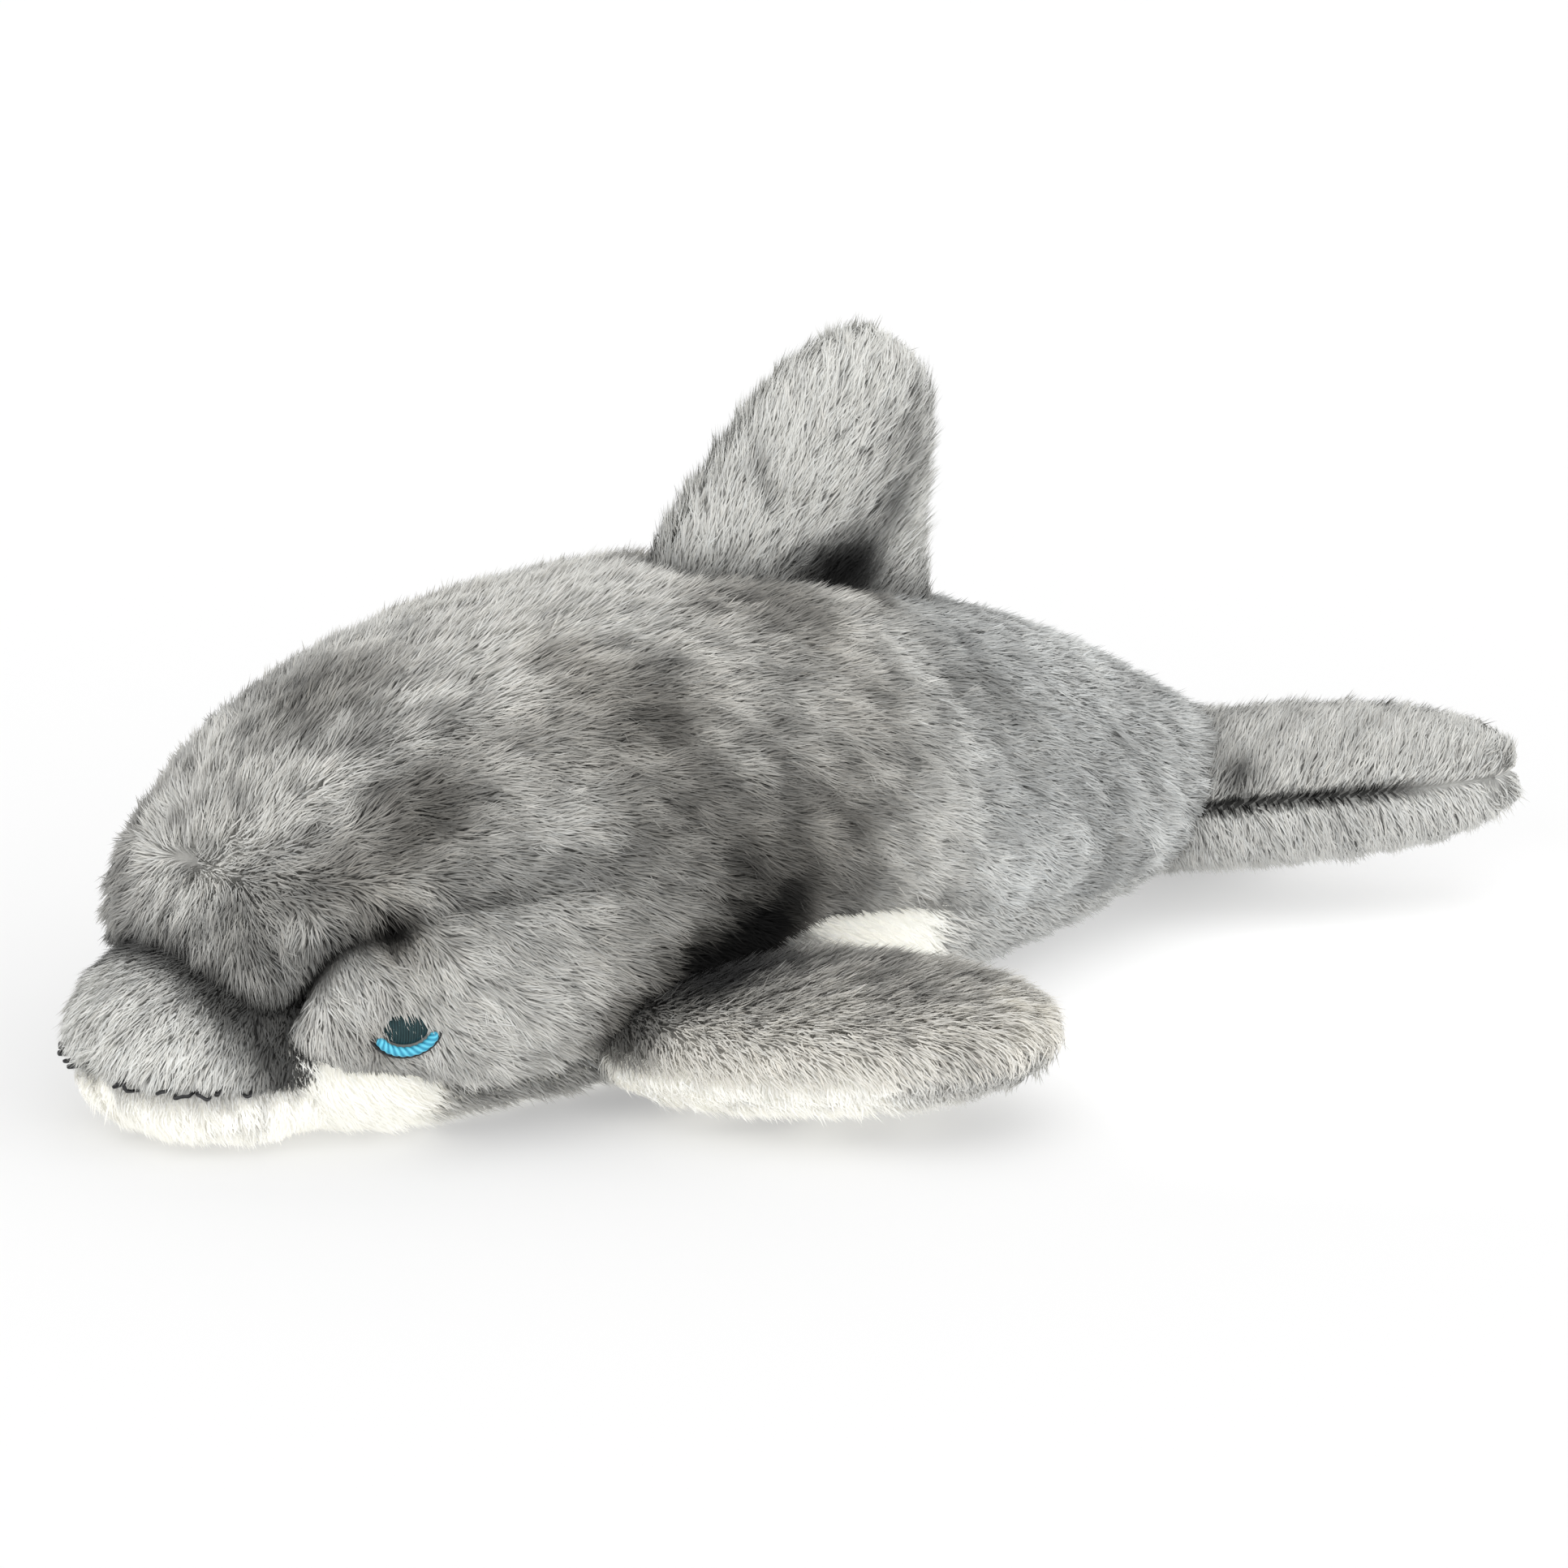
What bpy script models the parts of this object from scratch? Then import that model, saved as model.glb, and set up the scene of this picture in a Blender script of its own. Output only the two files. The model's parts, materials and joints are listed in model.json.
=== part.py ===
# Plush dolphin lying on its belly: sewn panels over fibre filling, with beak, dorsal fin, flippers and fluke.
# Metres, +Z up. The beak points along -X, the tail along +X and the dolphin's left side faces -Y.
# A point of the body's skin is named by a station, counted from the forehead to the tail, and by an
# angle around that station, 0 degrees on the ridge of the back and 180 degrees under the belly.

import bpy
import bmesh
import numpy as np
from mathutils import Matrix

# Cloth, seams and clearances
PILE_CLOTH = 0.0030
SEAM_GAP = 0.0003
FILLING_GAP = 0.0010
PILLOW_FILLING_GAP = 0.0005
SEAT_CLEARANCE = 0.0005
SHARP_ANGLE = np.radians(50)

# The body's three rails, one row for each station: ridge (x, z), side (x, y, z), belly (x, z).
# The belly rail dips under the floor where the toy's own weight presses it flat.
BODY_RAILS = [
    ((-0.1300, 0.0270), (-0.1300, 0.0000, 0.0270), (-0.1300, 0.0270)),
    ((-0.1310, 0.0420), (-0.1280, 0.0180, 0.0275), (-0.1290, 0.0150)),
    ((-0.1260, 0.0555), (-0.1210, 0.0320, 0.0280), (-0.1240, 0.0045)),
    ((-0.1130, 0.0675), (-0.1090, 0.0410, 0.0285), (-0.1120, -0.0015)),
    ((-0.0920, 0.0760), (-0.0890, 0.0460, 0.0295), (-0.0920, -0.0020)),
    ((-0.0600, 0.0810), (-0.0580, 0.0480, 0.0310), (-0.0580, -0.0020)),
    ((-0.0250, 0.0815), (-0.0250, 0.0460, 0.0320), (-0.0250, -0.0020)),
    ((0.0080, 0.0780), (0.0080, 0.0410, 0.0320), (0.0080, -0.0005)),
    ((0.0360, 0.0685), (0.0360, 0.0340, 0.0305), (0.0360, 0.0015)),
    ((0.0600, 0.0570), (0.0600, 0.0270, 0.0285), (0.0600, 0.0040)),
    ((0.0800, 0.0460), (0.0800, 0.0210, 0.0265), (0.0800, 0.0075)),
    ((0.0960, 0.0380), (0.0960, 0.0170, 0.0240), (0.0960, 0.0110)),
    ((0.1040, 0.0320), (0.1040, 0.0110, 0.0230), (0.1040, 0.0140)),
    ((0.1070, 0.0230), (0.1070, 0.0000, 0.0230), (0.1070, 0.0230)),
]
SECTION_POWER = 0.92
LAST_STATION = len(BODY_RAILS) - 1
PANEL_FROM = 0.35
PANEL_TO = 12.4

# The side seam's angle at each station, and how many degrees it opens there to take in the cheek.
SIDE_SEAM = [115, 107, 96, 95, 103, 96, 96, 104, 118, 132, 146, 154, 158, 160]
CHEEK_OPENING = [0, 2, 40, 47, 60, 34, 0, 0, 0, 0, 0, 0, 0, 0]
CHEEK_FROM = 1.2
CHEEK_TO = 5.84

# How far the cloth is drawn in along the seams at each station, and how wide the valley is.
SEAM_DEPTHS = [0.0002, 0.0010, 0.0035, 0.0035, 0.0025, 0.0015, 0.0012, 0.0008, 0.0006, 0.0006, 0.0006,
               0.0006, 0.0006, 0.0006]
SEAM_VALLEY = 0.0050

# Soft folds that run around the body behind the dorsal fin
FOLD_DEPTH = 0.0012
FOLD_FROM = 7.4
FOLD_TO = 10.6
FOLD_COUNT = 4

# The tail hangs rolled, with the left lobe of the fluke up and the right lobe down.
TAIL_ROLL = np.radians(13)
ROLL_FROM_X = 0.040
ROLL_TO_X = 0.095
ROLL_HEIGHT = 0.022

# Beak
BEAK_BACK = 0.019
BEAK_LENGTH = 0.0345
BEAK_HALF_WIDTH = 0.0265
BEAK_POWER = 2.6
MOUTH_HEIGHT = 0.0135
BEAK_TOP_RISE = 0.0170
JAW_DROP = 0.0130
MOUTH_THREAD_RADIUS = 0.0006
MOUTH_THREAD_REACH = 0.86

# Dorsal fin: heights are measured from the ridge of the back at the fin's station.
FIN_STATION = 6.82
FIN_HEIGHT = 0.0405
FIN_SKIRT = 0.0090
FIN_SINK = 0.0190
FIN_BASE_HALF_CHORD = 0.0355
FIN_TIP_HALF_CHORD = 0.0225
FIN_LEAN = 0.0170
FIN_LEAN_POWER = 1.4
FIN_CENTRE = -0.0050
FIN_HALF_THICKNESS = 0.0110
FIN_TIP_POWER = 4

# Flippers
FLIPPER_STATION = 5.1
FLIPPER_ANGLE = 119
FLIPPER_SINK = 0.016
FLIPPER_LENGTH = 0.0655
FLIPPER_HALF_CHORD = 0.0270
FLIPPER_TOP_RISE = 0.0125
FLIPPER_DROP = 0.0115
FLIPPER_SWEEP = np.radians(41.5)
FLIPPER_TILT = np.radians(2.5)
FLIPPER_OUTLINE_POWER = 0.45
FLIPPER_FULLEST = 0.4

# Fluke: one pillow across both lobes, measured from the end of the tail
FLUKE_BACK = 0.016
FLUKE_HALF_SPAN = 0.0440
FLUKE_SWEEP = 0.0460
FLUKE_HALF_CHORD = 0.0270
FLUKE_NOTCH = 0.16
FLUKE_RISE = 0.0135
FLUKE_DROP = 0.0045
FLUKE_HEIGHT = 0.0215
FLUKE_TIP_POWER = 3
FLUKE_OUTLINE_POWER = 0.55

# Eyes, embroidered on the cheeks
EYE_STATION = 3.0
EYE_ANGLE = 97.5
EYE_HALF_LENGTH = 0.0036
EYE_HALF_HEIGHT = 0.0027
EYE_THICKNESS = 0.0016
RING_DISTANCE = 0.0017
RING_RADIUS = 0.0007
OUTLINE_DISTANCE = 0.0034
OUTLINE_RADIUS = 0.0005
RING_START = np.radians(195)
RING_END = np.radians(352)

# Mesh fineness
CHEEK_ROWS = np.linspace(CHEEK_FROM, CHEEK_TO, 12)
BODY_ROWS = np.concatenate([np.linspace(PANEL_FROM, CHEEK_FROM, 5)[:-1], CHEEK_ROWS,
                            np.linspace(CHEEK_TO, FOLD_FROM, 4)[1:], np.linspace(FOLD_FROM, FOLD_TO, 14)[1:],
                            np.linspace(FOLD_TO, PANEL_TO, 5)[1:]])
BACK_CELLS = 6
CHEEK_CELLS = 4
BELLY_CELLS = 8
CUTTER_ROWS = 39
CUTTER_CELLS = 36
FILLING_ROWS = 22
FILLING_CELLS = 16
PILLOW_ROWS = 8
FLUKE_ROWS = 14
BEAK_CELLS = 8
FIN_CELLS = 6
FLUKE_CELLS = 5
ROOT_SPACING = 1.2
THREAD_SIDES = 6
MOUTH_STEPS = 24
RING_STEPS = 12
EYE_RINGS = 7
EYE_SIDES = 16
WELD_DISTANCE = 1e-6

# Steps in stations and in radians for differences of the skin, and how far round a point of the
# filling looks for the cloth's deepest place
SLOPE_STEP = 0.02
SEAM_STEP = 0.01
POLE_MARGIN = 0.06
DIP_STATIONS = (-0.35, 0.0, 0.35)
DIP_ANGLES = (-0.2, -0.1, 0.0, 0.1, 0.2)

# Colours (linear RGB) and roughness of the cloths and threads
GREY_CLOTH = ("grey_plush", (0.30, 0.30, 0.285), 0.95)
PALE_GREY_CLOTH = ("pale_grey_plush", (0.45, 0.45, 0.43), 0.95)
WHITE_CLOTH = ("white_plush", (0.90, 0.88, 0.85), 0.95)
FIBRE_FILLING = ("fibre_filling", (0.86, 0.86, 0.84), 1.0)
EYE_THREAD = ("eye_thread", (0.04, 0.08, 0.085), 0.7)
BLUE_THREAD = ("blue_thread", (0.10, 0.58, 0.79), 0.5)
DARK_THREAD = ("dark_thread", (0.012, 0.012, 0.013), 0.7)


def clear_scene():
    for thing in list(bpy.data.objects):
        bpy.data.objects.remove(thing, do_unlink=True)


def material(spec):
    name, colour, roughness = spec
    made = bpy.data.materials.get(name)
    if made is None:
        made = bpy.data.materials.new(name)
        made.use_nodes = True
        shader = made.node_tree.nodes["Principled BSDF"]
        shader.inputs["Base Color"].default_value = (*colour, 1.0)
        shader.inputs["Roughness"].default_value = roughness
        shader.inputs["Metallic"].default_value = 0.0
        made.diffuse_color = (*colour, 1.0)
    return made


def smooth_curve(rows, t):
    """Catmull-Rom curve through the rows, at t counted in rows."""
    p = np.asarray(rows, float)
    p = np.concatenate([[2 * p[0] - p[1]], p, [2 * p[-1] - p[-2]]])
    i = np.clip(np.floor(t).astype(int), 0, len(p) - 4)
    f = t - i
    if p.ndim > 1:
        f = f[..., None]
    a, b, c, d = p[i], p[i + 1], p[i + 2], p[i + 3]
    return b + 0.5 * ((c - a) * f + (2 * a - 5 * b + 4 * c - d) * f**2 + (3 * b - a - 3 * c + d) * f**3)


def smooth_step(t):
    t = np.clip(t, 0, 1)
    return t * t * (3 - 2 * t)


def rolled(points):
    """Turns points behind ROLL_FROM_X about the tail's own line."""
    turn = -TAIL_ROLL * smooth_step((points[..., 0] - ROLL_FROM_X) / (ROLL_TO_X - ROLL_FROM_X))
    y, z = points[..., 1], points[..., 2] - ROLL_HEIGHT
    out = points.copy()
    out[..., 1] = np.cos(turn) * y - np.sin(turn) * z
    out[..., 2] = np.sin(turn) * y + np.cos(turn) * z + ROLL_HEIGHT
    return out


def plain_skin(station, angle):
    """The body without seams and folds: a rounded section between the three rails."""
    station, angle = np.broadcast_arrays(np.asarray(station, float), np.asarray(angle, float))
    ridge = smooth_curve([row[0] for row in BODY_RAILS], station)
    side = smooth_curve([row[1] for row in BODY_RAILS], station)
    belly = smooth_curve([row[2] for row in BODY_RAILS], station)
    c, s = np.cos(angle), np.sin(angle)
    share = (np.abs(c) ** SECTION_POWER)[..., None]
    rail = np.where((c > 0)[..., None], ridge, belly)
    xz = side[..., [0, 2]] + (rail - side[..., [0, 2]]) * share
    y = -side[..., 1] * np.sign(s) * np.abs(s) ** SECTION_POWER
    return rolled(np.stack([xz[..., 0], y, xz[..., 1]], -1))


def skin_slopes(station, angle):
    """Differences of the plain skin along the stations and around the section."""
    e = SLOPE_STEP
    lo = np.clip(station - e, 0, LAST_STATION)
    hi = np.clip(station + e, 0, LAST_STATION)
    along = (plain_skin(hi, angle) - plain_skin(lo, angle)) / (hi - lo)[..., None]
    around = (plain_skin(station, angle + e) - plain_skin(station, angle - e)) / (2 * e)
    return along, around


def skin_normal(station, angle):
    """Outward direction of the plain skin, read a little inside its two poles."""
    station = np.clip(station, POLE_MARGIN, LAST_STATION - POLE_MARGIN)
    along, around = skin_slopes(station, angle)
    normal = np.cross(around, along)
    return normal / np.linalg.norm(normal, axis=-1, keepdims=True)


def seam_angle(side, station):
    """The side seam's angle: side is -1 for its branch over the cheek and +1 for the one under it."""
    station = np.asarray(station, float)
    opening = np.maximum(smooth_curve(CHEEK_OPENING, station), 0)
    return np.radians(smooth_curve(SIDE_SEAM, station) + side * opening / 2)


def seam_distance(side, station, angle):
    """Distance across the skin to a seam that runs along the body."""
    folded = (angle + np.pi) % (2 * np.pi) - np.pi
    along, around = skin_slopes(station, folded)
    reach = np.linalg.norm(around, axis=-1)
    return np.abs(np.abs(folded) - seam_angle(side, station)) * reach


def drawn_in(station, angle):
    """How far the cloth lies under the plain skin, along seams and folds."""
    near = np.minimum(seam_distance(-1, station, angle), seam_distance(1, station, angle))
    seam = smooth_curve(SEAM_DEPTHS, station) * np.exp(-near / SEAM_VALLEY)
    t = (station - FOLD_FROM) / (FOLD_TO - FOLD_FROM)
    inside = smooth_step(4 * t) * smooth_step(4 * (1 - t))
    fold = FOLD_DEPTH * inside * (0.5 - 0.5 * np.cos(2 * np.pi * FOLD_COUNT * t)) * np.sin(angle) ** 2
    return seam + fold


def cloth(station, angle, depth):
    """A point of the sewn cloth, depth under its outer face, and never under the floor."""
    station, angle = np.broadcast_arrays(np.asarray(station, float), np.asarray(angle, float))
    point = plain_skin(station, angle)
    point = point - skin_normal(station, angle) * (drawn_in(station, angle) + depth)[..., None]
    point[..., 2] = np.maximum(point[..., 2], depth)
    return point


def seam_margin(side, station):
    """Half the seam's gap as an angle, measured square to the seam at the cloth's inner face."""
    angle = seam_angle(side, station)
    along, around = skin_slopes(station, angle)
    turn = seam_angle(side, station + SEAM_STEP) - seam_angle(side, station - SEAM_STEP)
    turn /= 2 * SEAM_STEP
    course = along + around * turn[:, None]
    square = np.linalg.norm(np.cross(around, course), axis=-1)
    radius = np.linalg.norm(around, axis=-1)
    return SEAM_GAP / 2 * np.linalg.norm(course, axis=-1) / square * radius / (radius - PILE_CLOTH)


def make_object(name, points, faces, spec):
    mesh = bpy.data.meshes.new(name)
    mesh.from_pydata([tuple(p) for p in points], [], [tuple(f) for f in faces])
    work = bmesh.new()
    work.from_mesh(mesh)
    bmesh.ops.remove_doubles(work, verts=work.verts, dist=WELD_DISTANCE)
    bmesh.ops.recalc_face_normals(work, faces=work.faces)
    work.to_mesh(mesh)
    work.free()
    mesh.shade_smooth()
    mesh.set_sharp_from_angle(angle=SHARP_ANGLE)
    mesh.materials.append(material(spec))
    made = bpy.data.objects.new(name, mesh)
    bpy.context.scene.collection.objects.link(made)
    return made


def triangles(index):
    """The faces of a grid of vertices. All quads are split along the same diagonal, so that two
    neighbours whose grids match stay apart by the gap between them."""
    a, b, c, d = index[:-1, :-1], index[:-1, 1:], index[1:, 1:], index[1:, :-1]
    return np.concatenate([np.stack([a, b, c], -1).reshape(-1, 3), np.stack([a, c, d], -1).reshape(-1, 3)])


def shell(name, outer, inner, spec):
    """One closed sheet between two grids of points, with walls along its four edges."""
    rows, columns = outer.shape[:2]
    count = rows * columns
    index = np.arange(count).reshape(rows, columns)
    faces = [triangles(index), triangles(index + count)[:, ::-1]]
    for edge in (index[0], index[-1], index[:, 0], index[:, -1]):
        faces.append(triangles(np.stack([edge + count, edge])))
    points = np.concatenate([outer.reshape(-1, 3), inner.reshape(-1, 3)])
    return make_object(name, points, np.concatenate(faces), spec)


def closed_tube(name, rings, spec):
    """A solid whose surface runs through rings of points, with a flat face or a point at each end."""
    rows, columns = rings.shape[:2]
    index = np.arange(rows * columns).reshape(rows, columns)
    around = np.concatenate([index, index[:, :1]], 1)
    faces = [tuple(face) for face in triangles(around)]
    for end in (0, -1):
        if np.ptp(rings[end], axis=0).max() > WELD_DISTANCE:
            faces.append(tuple(index[end]))
    return make_object(name, rings.reshape(-1, 3), faces, spec)


def cut_by(piece, cutter):
    cut = piece.modifiers.new("seat", "BOOLEAN")
    cut.operation = "DIFFERENCE"
    cut.solver = "EXACT"
    cut.object = cutter


def body_cutter():
    """The body grown by the clearance, which shapes the seat of every piece sewn onto it."""
    stations = np.linspace(0, LAST_STATION, CUTTER_ROWS + 1)[:, None]
    angles = np.linspace(0, 2 * np.pi, CUTTER_CELLS, endpoint=False)[None, :]
    stations, angles = np.broadcast_arrays(stations, angles)
    rings = plain_skin(stations, angles) + skin_normal(stations, angles) * SEAT_CLEARANCE
    for end in (0, -1):
        rings[end] = rings[end].mean(0)
    made = closed_tube("body_cutter", rings, GREY_CLOTH)
    made.hide_render = True
    made.display_type = "WIRE"
    return made


def body_panel(name, stations, low, high, cells, spec):
    share = np.linspace(0, 1, cells + 1)[None, :]
    angle = low[:, None] + (high - low)[:, None] * share
    station = np.broadcast_to(stations[:, None], angle.shape)
    return shell(name, cloth(station, angle, 0.0), cloth(station, angle, PILE_CLOTH), spec)


def ridge_margin(stations):
    along, around = skin_slopes(stations, np.zeros_like(stations))
    return SEAM_GAP / 2 / np.linalg.norm(around, axis=-1)


def body():
    """Two back panels, two cheeks and one white belly panel, all over one filling."""
    above = seam_angle(-1, BODY_ROWS) - seam_margin(-1, BODY_ROWS)
    below = seam_angle(1, BODY_ROWS) + seam_margin(1, BODY_ROWS)
    ridge = ridge_margin(BODY_ROWS)
    cheek_top = seam_angle(-1, CHEEK_ROWS) + seam_margin(-1, CHEEK_ROWS)
    cheek_low = seam_angle(1, CHEEK_ROWS) - seam_margin(1, CHEEK_ROWS)
    body_panel("back_left", BODY_ROWS, ridge, above, BACK_CELLS, GREY_CLOTH)
    body_panel("back_right", BODY_ROWS, -above, -ridge, BACK_CELLS, GREY_CLOTH)
    body_panel("cheek_left", CHEEK_ROWS, cheek_top, cheek_low, CHEEK_CELLS, GREY_CLOTH)
    body_panel("cheek_right", CHEEK_ROWS, -cheek_low, -cheek_top, CHEEK_CELLS, GREY_CLOTH)
    body_panel("belly", BODY_ROWS, below, 2 * np.pi - below, BELLY_CELLS, WHITE_CLOTH)

    stations = np.linspace(0, LAST_STATION, FILLING_ROWS + 1)[:, None]
    angles = np.linspace(0, 2 * np.pi, FILLING_CELLS, endpoint=False)[None, :]
    stations, angles = np.broadcast_arrays(stations, angles)
    depth = PILE_CLOTH + FILLING_GAP
    dip = np.maximum.reduce([drawn_in(np.clip(stations + ds, 0, LAST_STATION), angles + da)
                             for ds in DIP_STATIONS for da in DIP_ANGLES])
    rings = plain_skin(stations, angles) - skin_normal(stations, angles) * (depth + dip)[..., None]
    rings[..., 2] = np.maximum(rings[..., 2], depth)
    for end in (0, -1):
        rings[end] = rings[end].mean(0)
    closed_tube("body_filling", rings, FIBRE_FILLING)


def pillow_points(section, v, u, inset):
    """Points of a pillow: v runs along it, u around it from one rim over the top to the other rim."""
    v, u = np.broadcast_arrays(v, u)
    centre, chord, up, down = section(v, inset)
    rise = np.where((np.sin(u) >= 0)[..., None], up, -down)
    return centre + chord * np.cos(u)[..., None] + rise * np.abs(np.sin(u))[..., None]


def pillow(names, section, seam_side, v_from, rows, cells, specs, on_floor=False, turn=None):
    """Two cloth halves that meet at the rim, and the filling between them. Rows lie closest at the
    tips: at both ends of a pillow that starts below v = 0, and at the far end of any other."""
    if v_from < 0:
        v = (1 - np.cos(np.linspace(0, np.pi, rows + 1))) / 2
    else:
        v = np.sin(np.linspace(0, np.pi / 2, rows + 1)) ** ROOT_SPACING
    v = (v_from + (1 - v_from) * v)[:, None]
    made = []

    def settle(points, depth):
        points = turn(points) if turn else points
        if on_floor:
            points[..., 2] = np.maximum(points[..., 2], depth)
        return points

    for name, spec, start in zip(names[:2], specs, (0.0, np.pi)):
        u = (start + np.linspace(0, np.pi, cells + 1))[None, :]
        side = seam_side * (SEAM_GAP / 2 if start == 0.0 else -SEAM_GAP / 2)
        outer = settle(pillow_points(section, v, u, 0.0) + side, 0.0)
        inner = settle(pillow_points(section, v, u, PILE_CLOTH) + side, PILE_CLOTH)
        made.append(shell(name, outer, inner, spec))
    around = np.linspace(0, 2 * np.pi, 2 * cells, endpoint=False)[None, :]
    depth = PILE_CLOTH + PILLOW_FILLING_GAP
    made.append(closed_tube(names[2], settle(pillow_points(section, v, around, depth), depth), FIBRE_FILLING))
    return made


def beak_section(v, inset):
    """The beak, v from 0 inside the head to 1 at its tip, wider than it is high."""
    front = plain_skin(0.0, 0.0)[0]
    root = front + BEAK_BACK
    reach = BEAK_LENGTH - inset
    shape = np.sqrt(np.clip(1 - v**BEAK_POWER, 0, 1))[..., None]
    zero = np.zeros_like(v)
    centre = np.stack([root - reach * v, zero, zero + MOUTH_HEIGHT], -1)
    chord = np.array([0, -1, 0]) * (BEAK_HALF_WIDTH - inset) * shape
    up = np.array([0, 0, 1]) * (BEAK_TOP_RISE - inset) * shape
    down = np.array([0, 0, 1]) * (JAW_DROP - inset) * shape
    return centre, chord, up, down


def mouth_thread():
    """The stitched mouth line, a thread around the beak's rim."""
    turn = np.linspace(-MOUTH_THREAD_REACH, MOUTH_THREAD_REACH, MOUTH_STEPS + 1) * np.pi / 2
    v = np.cos(turn) ** (2 / BEAK_POWER)
    centre, chord = beak_section(v, -(MOUTH_THREAD_RADIUS + 2 * SEAM_GAP))[:2]
    path = centre + chord * np.sign(turn)[:, None]
    return tube_along("mouth_thread", path, np.array([0, 0, 1.0]), MOUTH_THREAD_RADIUS, DARK_THREAD)


def tube_along(name, path, up, radius, spec):
    """A thread of round section along a path of points."""
    run = np.gradient(path, axis=0)
    run /= np.linalg.norm(run, axis=1, keepdims=True)
    across = np.cross(run, up)
    across /= np.linalg.norm(across, axis=1, keepdims=True)
    over = np.cross(across, run)
    turn = np.linspace(0, 2 * np.pi, THREAD_SIDES, endpoint=False)[None, :, None]
    rings = path[:, None] + radius * (np.cos(turn) * across[:, None] + np.sin(turn) * over[:, None])
    return closed_tube(name, rings, spec)


def fin_section(v, inset):
    """The dorsal fin, v from below 0 inside the back to 1 at its tip, leaning towards the tail."""
    ridge = plain_skin(FIN_STATION, 0.0)
    base = ridge[2] - FIN_SKIRT
    height = FIN_HEIGHT + FIN_SKIRT - inset
    along = np.clip(v, 0, 1)
    chord = FIN_BASE_HALF_CHORD + (FIN_TIP_HALF_CHORD - FIN_BASE_HALF_CHORD) * along - inset
    round_off = np.sqrt(np.clip(1 - along**FIN_TIP_POWER, 0, 1))
    x = ridge[0] + FIN_CENTRE + FIN_LEAN * np.sin(np.pi / 2 * along) ** FIN_LEAN_POWER
    zero = np.zeros_like(v)
    centre = np.stack([x, zero, base + height * v], -1)
    thick = np.array([0, -1, 0]) * (FIN_HALF_THICKNESS - inset) * round_off[..., None]
    return centre, np.array([1, 0, 0]) * (chord * round_off)[..., None], thick, thick


def flipper_section(side):
    """The section of one flipper: side is -1 on the dolphin's left and +1 on its right."""
    root = plain_skin(FLIPPER_STATION, np.radians(FLIPPER_ANGLE))
    run = np.array([np.sin(FLIPPER_SWEEP) * np.cos(FLIPPER_TILT),
                    -np.cos(FLIPPER_SWEEP) * np.cos(FLIPPER_TILT), np.sin(FLIPPER_TILT)])
    across = np.cross(np.array([0, 0, 1.0]), run)
    across /= np.linalg.norm(across)
    top = np.cross(run, across)
    mirror = np.array([1, -side, 1])

    def section(v, inset):
        reach = FLIPPER_SINK + FLIPPER_LENGTH - 2 * inset
        start = root - run * (FLIPPER_SINK - inset)
        centre = start + run * (reach * v)[..., None]
        round_off = np.clip(1 - (2 * v - 1) ** 2, 0, 1) ** FLIPPER_OUTLINE_POWER
        chord = (FLIPPER_HALF_CHORD - inset) * round_off
        away = (v - FLIPPER_FULLEST) / (1 - FLIPPER_FULLEST)
        plump = np.sqrt(np.clip(1 - away**2, 0, 1))[..., None]
        return (centre * mirror, -across * mirror * chord[..., None],
                top * mirror * (FLIPPER_TOP_RISE - inset) * plump,
                top * mirror * (FLIPPER_DROP - inset) * plump)

    return section


def fluke_section(v, inset):
    """Both lobes as one pillow, v from -1 at the right tip to +1 at the left tip."""
    tail_end = plain_skin(float(LAST_STATION), 0.0)[0]
    lobe = np.abs(v)
    bend = np.sqrt(lobe**2 + FLUKE_NOTCH**2) - FLUKE_NOTCH
    bend /= np.sqrt(1 + FLUKE_NOTCH**2) - FLUKE_NOTCH
    x = tail_end - FLUKE_BACK + FLUKE_SWEEP * bend
    z = FLUKE_HEIGHT - FLUKE_DROP * lobe**2
    centre = np.stack([x, -(FLUKE_HALF_SPAN - inset) * v, z], -1)
    round_off = np.clip(1 - lobe**FLUKE_TIP_POWER, 0, 1)
    chord = (FLUKE_HALF_CHORD - inset) * round_off**FLUKE_OUTLINE_POWER
    plump = np.array([0, 0, 1]) * (FLUKE_RISE - inset) * np.sqrt(round_off)[..., None]
    return centre, np.array([-1, 0, 0]) * chord[..., None], plump, plump


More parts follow.
